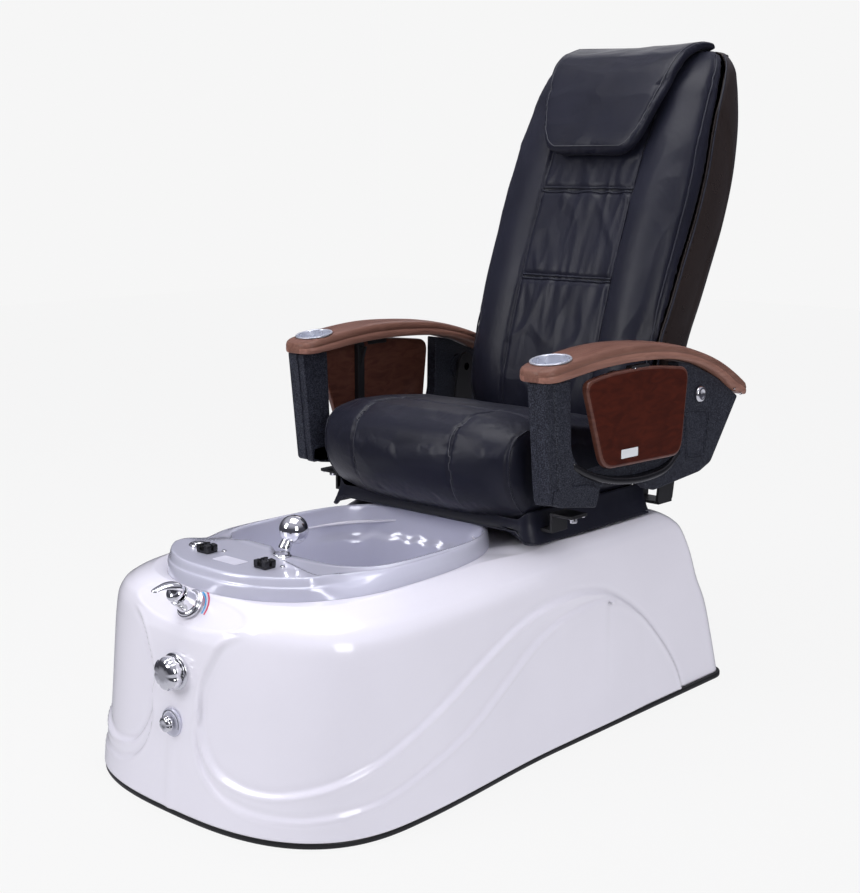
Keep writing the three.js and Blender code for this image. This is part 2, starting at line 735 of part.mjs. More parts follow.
// The padded armrest: an arched side profile cut to a plan that narrows towards the rear.
function armrest() {
  const profile = rounded([[384, 747, 4], ...armUnder, [1100, 652, 4], ...armTop], 6, 2);
  const plan = rounded(
    [
      [arm.inner + 6, 392, 30],
      [arm.outer, 380, 26],
      [arm.outer, 900, 60],
      [arm.outer - 8, 1120, 10],
      [arm.inner + 16, 1120, 10],
      [arm.inner, 900, 60],
    ],
    10,
    4,
  );
  const body = overlap(prismX(profile, 270, 380), prismZ(plan, 600, 850));
  const well = rod(cupPlace(-26), cupPlace(40), 38.4, 24);
  return cut(body, well);
}
const cupTilt = point(0, -0.155, 1).normalize();
const cupPlace = (height) => point(arm.middle, 441, 782.5).addScaledVector(cupTilt, height);
const cupHolder = turned(
  [[0, -25.6], [37, -25.6], [37.6, 2], [41, 2], [41, 3.6], [35, 3.6], [33, -20], [0, -21]],
  cupPlace(0),
  cupTilt,
  24,
);
addPair("arm_frame", armFrame(), finishes.texturedBlack);
addPair("armrest", armrest(), finishes.armBrown);
addPair("cup_holder", cupHolder, finishes.cupSilver);

// ---- fold-out trays ----
const trayOutline = rounded(
  [[484, 742, 30], [560, 753, 40], [700, 756, 60], [846, 738, 34], [824, 552, 34], [548, 560, 34]],
  20,
  5,
);
addPair("tray", prismX(trayOutline, tray.inner, tray.outer), finishes.mahogany);
const trayBracket = join(
  block(346, 358.1, 596, 616, 570, 750),
  prismY([[330, 742], [358.1, 742], [358.1, 660]], 603, 609),
);
addPair("tray_bracket", trayBracket, finishes.steelBlack);

// ---- back ----
// Side profile stations of the back: height, front face, seam between leather and shell, and rear face.
const backStations = [
  { z: 500, front: 858, seam: 874, rear: 960, half: 212 },
  { z: 566, front: 850, seam: 880, rear: 1024, half: 220 },
  { z: 640, front: 842, seam: 892, rear: 1088, half: 250 },
  { z: 760, front: 866, seam: 912, rear: 1162, half: 258 },
  { z: 900, front: 910, seam: 985, rear: 1234, half: 262 },
  { z: 1020, front: 956, seam: 1040, rear: 1290, half: 262 },
  { z: 1140, front: 1004, seam: 1085, rear: 1326, half: 260 },
  { z: 1230, front: 1048, seam: 1108, rear: 1334, half: 254 },
  { z: 1320, front: 1108, seam: 1160, rear: 1296, half: 236 },
  { z: 1375, front: 1164, seam: 1190, rear: 1240, half: 206 },
  { z: 1396, front: 1190, seam: 1200, rear: 1222, half: 178 },
];
// Where the frame's straps come out of the back's sides.
const strapSlots = [1, -1].map((sign) => onSide(sign, block(190, 240, 886, 922, 536, 576)));
// The front of the back: an open-backed cushion round the massage space.
function backCushion() {
  const ring = ({ z, front, seam, half }, inset, behind) => {
    const points = [];
    const across = 10;
    for (let i = 0; i <= across; i++) {
      const u = mix(-1, 1, i / across);
      const round = (1 - Math.abs(u) ** 6) * 0.9 + 0.1;
      points.push(point(u * (half - inset), mix(seam, front, round) + inset, z));
    }
    return [...points, point(half - inset, seam + behind, z), point(-half + inset, seam + behind, z)];
  };
  const outer = loft(backStations.map((station) => ring(station, 0, -1)));
  const hollow = loft(
    backStations
      .filter(({ z }) => z > 600 && z < 1300)
      .map((station) => {
        const { z, front, seam } = station;
        const padBack = mix(front, seam, 0.55);
        return [
          point(-110, padBack, z),
          point(110, padBack, z),
          point(110, seam + 40, z),
          point(-110, seam + 40, z),
        ];
      }),
  );
  return cut(outer, hollow, ...strapSlots);
}

function backShell() {
  const ring = ({ z, seam, rear, half }, inset, open) => {
    const points = [];
    const across = 12;
    for (let i = 0; i <= across; i++) {
      const angle = (i / across) * Math.PI;
      const x = -Math.cos(angle) * (half - inset - 1);
      const depth = Math.sin(angle) ** 0.62;
      points.push(point(x, seam + depth * (rear - seam - inset), z));
    }
    return [...points, point(half - inset - 1, seam - open, z), point(-half + inset + 1, seam - open, z)].reverse();
  };
  const outer = loft(backStations.map((station) => ring(station, 0, 0)));
  const inner = loft(
    backStations
      .filter(({ z }) => z < 1370)
      .map((station, i) => ring({ ...station, z: i === 0 ? station.z - 20 : station.z }, 5, 20)),
  );
  return cut(outer, inner, ...strapSlots);
}

// Steel uprights with a cross bar at each end, on ears that turn about the seat's hinge pins.
function backFrame() {
  const upright = (x) => pipe([point(x, 902, 545), point(x, 950, 760), point(x, 1130, 1200)], 9, 5, 6);
  const ear = cut(
    prismX(rounded([[862, 500, 20], [906, 500, 20], [920, 560], [880, 566]], 3, 4), 226, 232),
    rod(point(200, back.pivotY, back.pivotZ), point(260, back.pivotY, back.pivotZ), 11),
  );
  const strap = block(120, 232, 896, 912, 548, 564);
  const bar = (y, z) => rod(point(-132, y, z), point(132, y, z), 9, 8);
  const half = [ear, strap, upright(130)];
  return join(...half, ...half.map((piece) => onSide(-1, piece)), bar(902, 552), bar(1122, 1180));
}

// The massage unit: a roller carriage that travels up and down in the hollow.
function massageUnit() {
  const along = point(0, 0.37, 1).normalize();
  const middle = point(0, 994, 900);
  const body = [middle.clone().addScaledVector(along, -60), middle.clone().addScaledVector(along, 60)];
  const spindle = rod(middle.clone().add(point(-88, -8, 0)), middle.clone().add(point(88, -8, 0)), 10);
  const rollers = [-70, 70].map((x) => {
    const profile = [[0, -12], [19, -12], [24, 0], [19, 12], [0, 12]];
    return turned(profile, middle.clone().add(point(x, -8, 0)), point(1, 0, 0));
  });
  return join(rod(body[0], body[1], 26, 12), spindle, ...rollers);
}

// The head pillow: a padded flap hung over the top of the back.
function headPillow(grow = 0) {
  const stations = [
    { y: 1006, z: 1172, half: 104, thick: 10 },
    { y: 1008, z: 1190, half: 124, thick: 26 },
    { y: 1022, z: 1230, half: 144, thick: 36 },
    { y: 1060, z: 1310, half: 168, thick: 36 },
    { y: 1108, z: 1376, half: 178, thick: 30 },
    { y: 1166, z: 1399, half: 182, thick: 22 },
    { y: 1214, z: 1400, half: 182, thick: 18 },
  ];
  const rings = stations.map(({ y, z, half, thick }, i) => {
    const before = stations[Math.max(0, i - 1)];
    const after = stations[Math.min(stations.length - 1, i + 1)];
    const run = new THREE.Vector2(after.y - before.y, after.z - before.z).normalize();
    const section = rectangle(-half - grow, half + grow, -grow, thick + grow, thick * 0.45, 3);
    return section.map(([x, out]) => point(x, y - run.y * out, z + run.x * out));
  });
  return loft(rings);
}

add("back_frame", backFrame(), finishes.steelBlack);
add("massage_unit", massageUnit(), finishes.plastic);
add("back_cushion", cut(backCushion(), headPillow(0.4)), finishes.leather);
add("back_shell", backShell(), finishes.shellBlack);
add("head_pillow", headPillow(), finishes.leather);
add(
  "recline_actuator",
  join(block(-28, 28, 690, 770, 414, 436), rod(point(0, 768, 424), point(0, 796, 424), 8)),
  finishes.plastic,
);

root.position.y = -(frontEnd + rearEnd) / 2;
export default root;
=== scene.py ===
"""Pedicure spa chair: the looks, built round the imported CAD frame.

Lengths are millimetres in the CAD source's own layout, and at() turns them into Blender's metres.
"""

import math

import bmesh
import bpy
import numpy as np
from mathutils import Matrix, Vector, noise
from mathutils.bvhtree import BVHTree


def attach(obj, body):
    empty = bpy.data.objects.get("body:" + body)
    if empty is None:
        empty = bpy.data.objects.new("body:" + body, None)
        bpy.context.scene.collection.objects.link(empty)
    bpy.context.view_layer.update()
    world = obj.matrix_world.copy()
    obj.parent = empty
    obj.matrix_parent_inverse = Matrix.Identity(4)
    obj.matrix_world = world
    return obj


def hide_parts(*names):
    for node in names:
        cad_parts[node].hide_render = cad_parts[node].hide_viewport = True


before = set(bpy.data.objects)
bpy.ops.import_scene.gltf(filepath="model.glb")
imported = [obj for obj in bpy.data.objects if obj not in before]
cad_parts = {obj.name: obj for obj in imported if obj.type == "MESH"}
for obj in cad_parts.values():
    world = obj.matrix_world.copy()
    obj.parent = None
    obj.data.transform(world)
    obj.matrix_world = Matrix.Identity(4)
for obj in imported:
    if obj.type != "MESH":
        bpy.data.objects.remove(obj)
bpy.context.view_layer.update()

SHIFT_Y = -542  # moves the layout's datum so that the origin is under the middle of the chair
SIDES = (("left", 1), ("right", -1))


UP = (0, 0, 1)
FORWARD = (0, -1, 0)


# ---- small helpers ----
def at(x, y, z):
    """A place in the layout, in millimetres, as Blender's metres."""
    return Vector((x, y + SHIFT_Y, z)) * 0.001


def clamp(value, low=0.0, high=1.0):
    return min(high, max(low, value))


def mix(a, b, t):
    return a + (b - a) * t


def ease(start, end, value):
    t = clamp((value - start) / (end - start))
    return t * t * (3 - 2 * t)


def signed_power(value, power):
    return math.copysign(abs(value) ** power, value)


def lengths_along(points):
    """How far along a line each of its points is."""
    steps = np.linalg.norm(np.diff(np.array(points), axis=0), axis=1)
    return np.concatenate([[0], np.cumsum(steps)])


def rectangle(x0, y0, x1, y1):
    return [(x0, y0), (x1, y0), (x1, y1), (x0, y1)]


def smooth_line(points, count):
    """Evenly counted points on a smooth curve through the given ones (any dimension)."""
    p = np.array(points, float)
    place = lengths_along(p)
    slope = np.gradient(p, place, axis=0)
    wanted = np.linspace(0, place[-1], count)
    span = np.clip(np.searchsorted(place, wanted, "right") - 1, 0, len(p) - 2)
    width = place[span + 1] - place[span]
    t = ((wanted - place[span]) / width)[:, None]
    width = width[:, None]
    return (
        (2 * t**3 - 3 * t**2 + 1) * p[span]
        + (t**3 - 2 * t**2 + t) * width * slope[span]
        + (3 * t**2 - 2 * t**3) * p[span + 1]
        + (t**3 - t**2) * width * slope[span + 1]
    )


class Profile:
    """A smooth one-valued curve through (place, value...) rows."""

    def __init__(self, *rows):
        dense = smooth_line(rows, 40 * len(rows))
        self.dense = dense[np.argsort(dense[:, 0])]

    def __call__(self, place, column=1):
        return float(np.interp(place, self.dense[:, 0], self.dense[:, column]))


def make(name, verts, faces, material):
    mesh = bpy.data.meshes.new(name)
    mesh.from_pydata([tuple(v) for v in verts], [], faces)
    bm = bmesh.new()
    bm.from_mesh(mesh)
    bmesh.ops.remove_doubles(bm, verts=bm.verts, dist=1e-6)
    bmesh.ops.recalc_face_normals(bm, faces=bm.faces)
    for face in bm.faces:
        face.smooth = True
    bm.to_mesh(mesh)
    bm.free()
    mesh.materials.append(material)
    obj = bpy.data.objects.new(name, mesh)
    bpy.context.collection.objects.link(obj)
    return obj


def grid_faces(rows, columns, around):
    faces = []
    for r in range(rows - 1):
        for c in range(columns if around else columns - 1):
            d = (c + 1) % columns
            faces.append((r * columns + c, r * columns + d, (r + 1) * columns + d, (r + 1) * columns + c))
    return faces


def skin(name, rows, material, around=True, caps=False):
    """A surface through rows of points.

    around joins each row's ends, and caps closes the first and last row.
    """
    columns = len(rows[0])
    verts = [at(*p) for row in rows for p in row]
    faces = grid_faces(len(rows), columns, around)
    if caps:
        faces.append(tuple(reversed(range(columns))))
        faces.append(tuple(range((len(rows) - 1) * columns, len(rows) * columns)))
    return make(name, verts, faces, material)


def turned(name, profile, place, way, material, sides=64):
    """A turned piece from (radius, height) pairs about the direction way."""
    turn = Vector((0, 0, 1)).rotation_difference(Vector(way).normalized())
    origin = at(*place)
    rows = []
    for radius, height in profile:
        ring = []
        for i in range(sides):
            angle = 2 * math.pi * i / sides
            spoke = Vector((radius * math.cos(angle), radius * math.sin(angle), height)) * 0.001
            ring.append(origin + turn @ spoke)
        rows.append(ring)
    verts = [p for row in rows for p in row]
    return make(name, verts, grid_faces(len(rows), sides, True), material)


def soften(profile, radius):
    """Rounds the corners of an open (radius, height) profile."""
    steps = 4
    points = [Vector(p) for p in profile]
    out = [points[0]]
    for before, here, after in zip(points, points[1:], points[2:]):
        a = here + (before - here).normalized() * min(radius, (before - here).length * 0.45)
        b = here + (after - here).normalized() * min(radius, (after - here).length * 0.45)
        for i in range(steps + 1):
            t = i / steps
            out.append(a * (1 - t) ** 2 + here * 2 * t * (1 - t) + b * t**2)
    out.append(points[-1])
    return [tuple(p) for p in out]


def rounded(corners, radius, steps=8):
    """A closed outline with each corner rounded; a corner may carry its own radius."""
    out = []
    for i, corner in enumerate(corners):
        here = Vector(corner[:2])
        own = corner[2] if len(corner) > 2 else radius
        if own <= 0:
            out.append(tuple(here))
            continue
        before = Vector(corners[i - 1][:2]) - here
        after = Vector(corners[(i + 1) % len(corners)][:2]) - here
        a = here + before.normalized() * min(own, before.length * 0.48)
        b = here + after.normalized() * min(own, after.length * 0.48)
        for k in range(steps + 1):
            t = k / steps
            out.append(tuple(a * (1 - t) ** 2 + here * 2 * t * (1 - t) + b * t**2))
    return out


def bevel(obj, width, segments=3, angle=35):
    mod = obj.modifiers.new("bevel", "BEVEL")
    mod.width = width * 0.001
    mod.segments = segments
    mod.limit_method = "ANGLE"
    mod.angle_limit = math.radians(angle)
    mod.harden_normals = True
    return obj


def slab(name, outline, start, end, material, axis="x", width=1.5, segments=3):
    """An outline pushed along an axis, with its edges rounded off."""

    def place(u, v, w):
        return {"x": at(w, u, v), "y": at(u, w, v), "z": at(u, v, w)}[axis]

    count = len(outline)
    verts = [place(u, v, w) for w in (start, end) for u, v in outline]
    faces = [(i, (i + 1) % count, count + (i + 1) % count, count + i) for i in range(count)]
    faces.append(tuple(reversed(range(count))))
    faces.append(tuple(range(count, 2 * count)))
    return bevel(make(name, verts, faces, material), width, segments)


def tube(name, points, radius, material, sides=10, closed=False, flat=1.0):
    """A round bead along points that are already in metres; flat squeezes it along its own normal."""
    path = [Vector(p) for p in points]
    rows = []
    count = len(path)
    normal = None
    for i, here in enumerate(path):
        ahead = path[(i + 1) % count] if closed or i + 1 < count else here
        behind = path[i - 1] if closed or i > 0 else here
        along = (ahead - behind).normalized()
        if normal is None:
            normal = along.orthogonal().normalized()
        normal = (normal - along * normal.dot(along)).normalized()
        other = along.cross(normal)
        ring = []
        for k in range(sides):
            angle = 2 * math.pi * k / sides
            spoke = normal * math.cos(angle) * flat + other * math.sin(angle)
            ring.append(here + spoke * radius * 0.001)
        rows.append(ring)
    verts = [p for row in rows for p in row]
    faces = grid_faces(count, sides, True)
    if closed:
        last = (count - 1) * sides
        faces += [(last + k, last + (k + 1) % sides, (k + 1) % sides, k) for k in range(sides)]
    else:
        faces.append(tuple(reversed(range(sides))))
        faces.append(tuple(range((count - 1) * sides, count * sides)))
    return make(name, verts, faces, material)


def joined(name, *objs):
    """Several objects as one mesh, modifiers applied."""
    bm = bmesh.new()
    graph = bpy.context.evaluated_depsgraph_get()
    materials = []
    for obj in objs:
        shape = obj.evaluated_get(graph).to_mesh()
        start = len(bm.faces)
        bm.from_mesh(shape)
        bm.faces.ensure_lookup_table()
        for face in bm.faces[start:]:
            own = obj.data.materials[face.material_index]
            if own not in materials:
                materials.append(own)
            face.material_index = materials.index(own)
        obj.evaluated_get(graph).to_mesh_clear()
    mesh = bpy.data.meshes.new(name)
    bm.to_mesh(mesh)
    bm.free()
    for own in materials:
        mesh.materials.append(own)
    result = bpy.data.objects.new(name, mesh)
    bpy.context.collection.objects.link(result)
    for obj in objs:
        bpy.data.objects.remove(obj)
    return result


def settle(obj, body, slot, *nodes):
    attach(obj, body)
    if nodes:
        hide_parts(*nodes)
    return obj


# ---- materials ----
def fill_ramp(node, stops):
    """Gives a colour ramp its (position, colour or grey) stops."""
    while len(node.color_ramp.elements) < len(stops):
        node.color_ramp.elements.new(0.5)
    for element, (position, color) in zip(node.color_ramp.elements, stops):
        element.position = position
        element.color = (*color, 1) if hasattr(color, "__len__") else (color, color, color, 1)


class Look:
    """A procedural material: a Principled shader with a few named node helpers."""

    def __init__(self, name, color, roughness, **settings):
        self.material = bpy.data.materials.new(name)
        self.material.use_nodes = True
        self.nodes = self.material.node_tree.nodes
        self.links = self.material.node_tree.links
        self.shader = self.nodes["Principled BSDF"]
        self.color = color
        self.set("Base Color", (*color, 1))
        self.set("Roughness", roughness)
        for key, value in settings.items():
            self.set(key.replace("_", " "), value)
        self.place = self.nodes.new("ShaderNodeTexCoord").outputs["Object"]
        self.height = None

    def set(self, socket, value):
        self.shader.inputs[socket].default_value = value

    def noise(self, scale, detail=3.0, stretch=None, distortion=0.0):
        node = self.nodes.new("ShaderNodeTexNoise")
        node.inputs["Scale"].default_value = scale
        node.inputs["Detail"].default_value = detail
        node.inputs["Distortion"].default_value = distortion
        self.links.new(self.stretched(stretch), node.inputs["Vector"])
        return node.outputs["Fac"]

    def cells(self, scale):
        node = self.nodes.new("ShaderNodeTexVoronoi")
        node.feature = "DISTANCE_TO_EDGE"
        node.inputs["Scale"].default_value = scale
        self.links.new(self.place, node.inputs["Vector"])
        return node.outputs["Distance"]

    def stretched(self, stretch):
        if stretch is None:
            return self.place
        node = self.nodes.new("ShaderNodeMapping")
        node.inputs["Scale"].default_value = stretch
        self.links.new(self.place, node.inputs["Vector"])
        return node.outputs["Vector"]

    def ramp(self, fac, *stops):
        node = self.nodes.new("ShaderNodeValToRGB")
        fill_ramp(node, stops)
        self.links.new(fac, node.inputs["Fac"])
        return node.outputs["Color"]

    def tint(self, fac, dark, light):
        """Colour that wanders between two tints of the base colour."""
        low = [c * dark for c in self.color]
        high = [min(1.0, c * light) for c in self.color]
        self.links.new(self.ramp(fac, (0.3, low), (0.7, high)), self.shader.inputs["Base Color"])

    def rough(self, fac, low, high):
        self.links.new(self.ramp(fac, (0.25, low), (0.75, high)), self.shader.inputs["Roughness"])

    def bump(self, fac, distance, strength=1.0):
        node = self.nodes.new("ShaderNodeBump")
        node.inputs["Distance"].default_value = distance
        node.inputs["Strength"].default_value = strength
        self.links.new(fac, node.inputs["Height"])
        if self.height is not None:
            self.links.new(self.height, node.inputs["Normal"])
        self.height = node.outputs["Normal"]
        self.links.new(self.height, self.shader.inputs["Normal"])
        return self


def pearl(name, color, roughness, flake, **settings):
    look = Look(name, color, roughness, Coat_Weight=1.0, Coat_Roughness=0.04, **settings)
    look.tint(look.noise(6, 2), 0.985, 1.01)
    look.bump(look.noise(900, 2), 0.0001, flake)
    look.bump(look.noise(9, 2), 0.0015, 0.05)
    return look.material


def chrome_look():
    look = Look("chrome", (0.82, 0.82, 0.84), 0.05, Metallic=1.0)
    look.rough(look.noise(35, 3), 0.03, 0.07)
    look.bump(look.noise(400, 2), 0.00005, 0.02)
    return look.material


def leather_look(name, color, rough_low, rough_high, crease):
    look = Look(name, color, rough_low, Specular_IOR_Level=0.24, Sheen_Weight=0.02, Sheen_Roughness=0.4)
    look.tint(look.noise(9, 4), 0.88, 1.14)
    look.rough(look.noise(14, 4), rough_low, rough_high)
    look.bump(look.noise(26, 5, (1, 1, 0.6), 0.6), 0.002, crease)
    look.bump(look.cells(620), 0.0004, 0.35)
    look.bump(look.noise(1500, 2), 0.0002, 0.25)
    return look.material


def speckled_look():
    look = Look("speckled_black", (0.026, 0.029, 0.037), 0.6, Specular_IOR_Level=0.25)
    grains = look.noise(420, 2)
    look.links.new(
        look.ramp(grains, (0.45, (0.008, 0.009, 0.016)), (0.62, (0.042, 0.046, 0.064))),
        look.shader.inputs["Base Color"],
    )
    look.rough(look.noise(200, 2), 0.42, 0.72)
    look.bump(grains, 0.0012, 0.7)
    return look.material


def wood_look(name, dark, light, roughness, stretch, coat, grain=0.3):
    look = Look(name, light, roughness, Coat_Weight=coat, Coat_Roughness=0.08, Specular_IOR_Level=0.12)
    figure = look.noise(5.5, 6, stretch, 1.6)
    look.links.new(look.ramp(figure, (0.32, dark), (0.68, light)), look.shader.inputs["Base Color"])
    look.bump(look.noise(60, 4, stretch), 0.0006, grain)
    return look.material


def plain_look(name, color, roughness, grain_scale=300, grain=0.2, **settings):
    look = Look(name, color, roughness, **settings)
    look.tint(look.noise(12, 3), 0.9, 1.1)
    look.rough(look.noise(25, 3), roughness * 0.85, min(1, roughness * 1.15))
    look.bump(look.noise(grain_scale, 2), 0.0004, grain)
    return look.material


PEARL_WHITE = pearl("pearl_white", (0.82, 0.80, 0.89), 0.3, 0.06)
PEARL_SILVER = pearl("pearl_silver", (0.58, 0.58, 0.70), 0.24, 0.12, Metallic=0.12)
CHROME = chrome_look()
BLUE_BLACK = (0.0095, 0.0100, 0.0190)
LEATHER = leather_look("leather_black", BLUE_BLACK, 0.34, 0.42, 0.35)
LEATHER_BACK = leather_look("leather_creased", BLUE_BLACK, 0.33, 0.42, 0.5)
PIPING = leather_look("leather_piping", (0.016, 0.017, 0.027), 0.3, 0.4, 0.1)
THREAD = plain_look("thread_black", (0.06, 0.062, 0.075), 0.6)
SHELL_BLACK = plain_look("gloss_brown_black", (0.022, 0.0155, 0.0145), 0.3, 900, 0.02,
                         Specular_IOR_Level=0.3, Coat_Weight=0.15, Coat_Roughness=0.12)
SPECKLED = speckled_look()
ALONG_ARM = (14, 1.2, 14)  # draws the wood's figure out along the armrest
ACROSS_TRAY = (3, 3, 9)
ARM_TOP = wood_look("arm_brown", (0.135, 0.062, 0.046), (0.20, 0.098, 0.074), 0.42, ALONG_ARM, 0.15, 0.5)
ARM_BAND = wood_look("arm_brown_band", (0.20, 0.095, 0.072), (0.30, 0.15, 0.115), 0.42, ALONG_ARM, 0.15, 0.5)
MAHOGANY = wood_look("mahogany", (0.038, 0.0052, 0.0018), (0.068, 0.0100, 0.0036), 0.4,
                     ACROSS_TRAY, 0.3, 0.02)
MAHOGANY_EDGE = wood_look("mahogany_edge", (0.08, 0.028, 0.02), (0.13, 0.05, 0.035), 0.3,
                          ACROSS_TRAY, 0.6, 0.1)
CUP_SILVER = plain_look("cup_silver", (0.60, 0.62, 0.70), 0.28, 900, 0.05, Metallic=0.55)
RUBBER = plain_look("rubber", (0.008, 0.008, 0.009), 0.5, 260, 0.3)
STEEL_BLACK = plain_look("steel_black", (0.012, 0.012, 0.014), 0.42, 500, 0.25)
# black plastic parts, and also the cross slots of the chrome screws, where the black is painted shade
BLACK_PLASTIC_AND_SLOT_SHADE = plain_look("black_plastic", (0.008, 0.008, 0.010), 0.22, 700, 0.05)
PVC = plain_look("pvc", (0.72, 0.72, 0.69), 0.4)
PLYWOOD = wood_look("plywood", (0.36, 0.22, 0.11), (0.55, 0.38, 0.22), 0.75, (1, 14, 1), 0.0)
LABEL = plain_look("blank_label", (0.72, 0.74, 0.78), 0.35, 900, 0.02)
CLEAR_LABEL = plain_look("blank_clear_label", (0.66, 0.65, 0.76), 0.22, 900, 0.02)
HOT_RED = plain_look("hot_arc", (0.70, 0.045, 0.12), 0.3, 900, 0.02)
COLD_BLUE = plain_look("cold_arc", (0.06, 0.42, 0.80), 0.3, 900, 0.02)
WHITE_RING = plain_look("white_arc", (0.72, 0.72, 0.78), 0.3, 900, 0.02)

# ---- camera, light and floor ----
CAMERA_PLACE = (2027.2, -1753.1, 1141.2)
CAMERA_TURN = 42.5  # degrees round the chair from straight in front, towards the customer's left
CAMERA_PITCH = 10.69  # degrees downwards
LENS = 59.66
# The room from straight down (0) to straight up (1): a pale floor, a dark wall and a pale ceiling.
ROOM = (
    (0.0, (0.62, 0.62, 0.68)),
    (0.28, (0.55, 0.55, 0.62)),
    (0.40, (0.05, 0.05, 0.06)),
    (0.62, (0.07, 0.07, 0.09)),
    (0.80, (0.40, 0.40, 0.47)),
    (1.0, (0.50, 0.50, 0.58)),
)
# name, place and target in metres, width and height, watts
LIGHTS = (
    ("overhead", (0.2, -0.4, 3.4), (0, 0, 0.4), (2.4, 2.4), 62),
    ("key_front_left", (-1.3, -3.2, 2.3), (0, -0.1, 0.6), (1.4, 2.0), 52),
    ("right_side", (3.3, -1.5, 1.7), (0, 0.1, 0.4), (1.2, 1.8), 36),
    ("rear_rim", (-1.8, 2.8, 2.6), (0, 0.2, 0.9), (1.2, 1.4), 5),
)
STAGE_HALF = 14
WALL_AWAY = 9
WALL_FOOT = -1
WALL_TOP = 9


def set_camera():
    data = bpy.data.cameras.new("camera")
    data.lens = LENS
    data.sensor_width = 36
    data.clip_end = 50
    camera = bpy.data.objects.new("camera", data)
    camera.location = at(*CAMERA_PLACE)
    camera.rotation_euler = (math.radians(90 - CAMERA_PITCH), 0, math.radians(CAMERA_TURN))
    bpy.context.collection.objects.link(camera)
    bpy.context.scene.camera = camera


def area_light(name, place, target, size, power):
    data = bpy.data.lights.new(name, "AREA")
    data.shape = "RECTANGLE"
    data.size, data.size_y = size
    data.energy = power
    light = bpy.data.objects.new(name, data)
    light.location = place
    light.rotation_euler = (Vector(target) - Vector(place)).to_track_quat("-Z", "Y").to_euler()
    bpy.context.collection.objects.link(light)


def glow(name, grey, strength):
    """A plain pale surface that mostly shines by itself, so that it stays even behind the object."""
    look = Look(name, (grey, grey, grey), 1.0, Emission_Strength=strength)
    look.set("Emission Color", (1, 1, 1, 1))
    look.set("Specular IOR Level", 0.0)
    look.tint(look.noise(0.4, 1), 0.995, 1.0)
    return look.material


def wall(name, a, b, material):
    """An upright sheet between two floor places, in metres."""
    verts = [(*a, WALL_FOOT), (*b, WALL_FOOT), (*b, WALL_TOP), (*a, WALL_TOP)]
    return make(name, verts, [(0, 1, 2, 3)], material)


def set_stage():
    scene = bpy.context.scene
    scene.view_settings.view_transform = "Standard"
    world = bpy.data.worlds.new("studio")
    world.use_nodes = True
    nodes, links = world.node_tree.nodes, world.node_tree.links
    height = nodes.new("ShaderNodeSeparateXYZ")
    links.new(nodes.new("ShaderNodeTexCoord").outputs["Generated"], height.inputs["Vector"])
    spread = nodes.new("ShaderNodeMapRange")
    spread.inputs["From Min"].default_value = -1
    links.new(height.outputs["Z"], spread.inputs["Value"])
    room = nodes.new("ShaderNodeValToRGB")
    fill_ramp(room, ROOM)
    links.new(spread.outputs["Result"], room.inputs["Fac"])
    links.new(room.outputs["Color"], nodes["Background"].inputs["Color"])
    nodes["Background"].inputs["Strength"].default_value = 1.0
    scene.world = world
    half, away = STAGE_HALF, WALL_AWAY
    corners = [(x, y, -0.0005) for x, y in rectangle(-half, -half, half, half)]
    floor = make("floor", corners, [(0, 1, 2, 3)], glow("studio_floor", 0.04, 0.885))
    paper = glow("studio_backdrop", 0.01, 0.915)
    back = wall("backdrop", (-half, away), (half, away), paper)
    side = wall("backdrop_side", (-away, -half), (-away, half), paper)
    front = wall("backdrop_front", (-half, -away), (half, -away), paper)
    far_side = wall("backdrop_far_side", (away, -half), (away, half), paper)
    for sheet in (front, far_side):
        sheet.visible_diffuse = False
    for sheet in (floor, back, side, front, far_side):
        sheet.visible_glossy = False
    for light in LIGHTS:
        area_light(*light)


# ---- base ----
BASE_HALF = 357
BASE_REAR_HALF = 336
BASE_FRONT = -229
BASE_REAR = 1095
BULGE_Y = 44
FACET_LOW = (-194, 345)
FACET_HIGH = (-150, 397)
SQUARENESS = 2 / 2.75  # how far the front of the plan is from a plain ellipse
REAR_CORNER = 46
FOOT_SHARE = 0.031
# share of the height, then how far the front, the middle sides, the rear sides and the rear draw in
BASE_LEVELS = Profile(
    (FOOT_SHARE, 0, 0, 0, 0),
    (0.25, 8, 5, 1, 30),
    (0.45, 16, 8, 1, 62),
    (0.62, 22, 11, 2, 103),
    (0.78, 28, 15, 4, 133),
    (0.86, 32, 20, 8, 150),
    (0.91, 37, 32, 12, 163),
    (0.95, 47, 53, 20, 180),
    (0.98, 62, 76, 31, 198),
    (1.0, 79, 98, 42, 215),
)


def top_of_base(y):
    return mix(397, 412, ease(430, 550, y))


def half_plan():
    """The foot of the base from the front middle, round the customer's left, to the rear middle."""
    half = []
    for i in range(97):
        angle = i / 96 * math.pi / 2
        x = BASE_HALF * math.sin(angle) ** SQUARENESS
        half.append((x, BULGE_Y - (BULGE_Y - BASE_FRONT) * math.cos(angle) ** SQUARENESS))
    for y in range(54, 1044, 10):
        half.append((mix(BASE_HALF, BASE_REAR_HALF, ease(44, 460, y)), y))
    for i in range(13):
        angle = i / 12 * math.pi / 2
        x = BASE_REAR_HALF - REAR_CORNER + REAR_CORNER * math.cos(angle)
        half.append((x, BASE_REAR - REAR_CORNER + REAR_CORNER * math.sin(angle)))
    for i in range(1, 13):
        half.append(((BASE_REAR_HALF - REAR_CORNER) * (1 - i / 12), BASE_REAR))
    return half


PLAN = [tuple(p) for p in smooth_line(half_plan(), 330)]
PLAN_ALONG = lengths_along(PLAN)


def mirrored(half_row):
    """A row from the front middle to the rear middle, carried on round the other side."""
    return half_row + [(-x, y, z) for x, y, z in reversed(half_row[1:-1])]


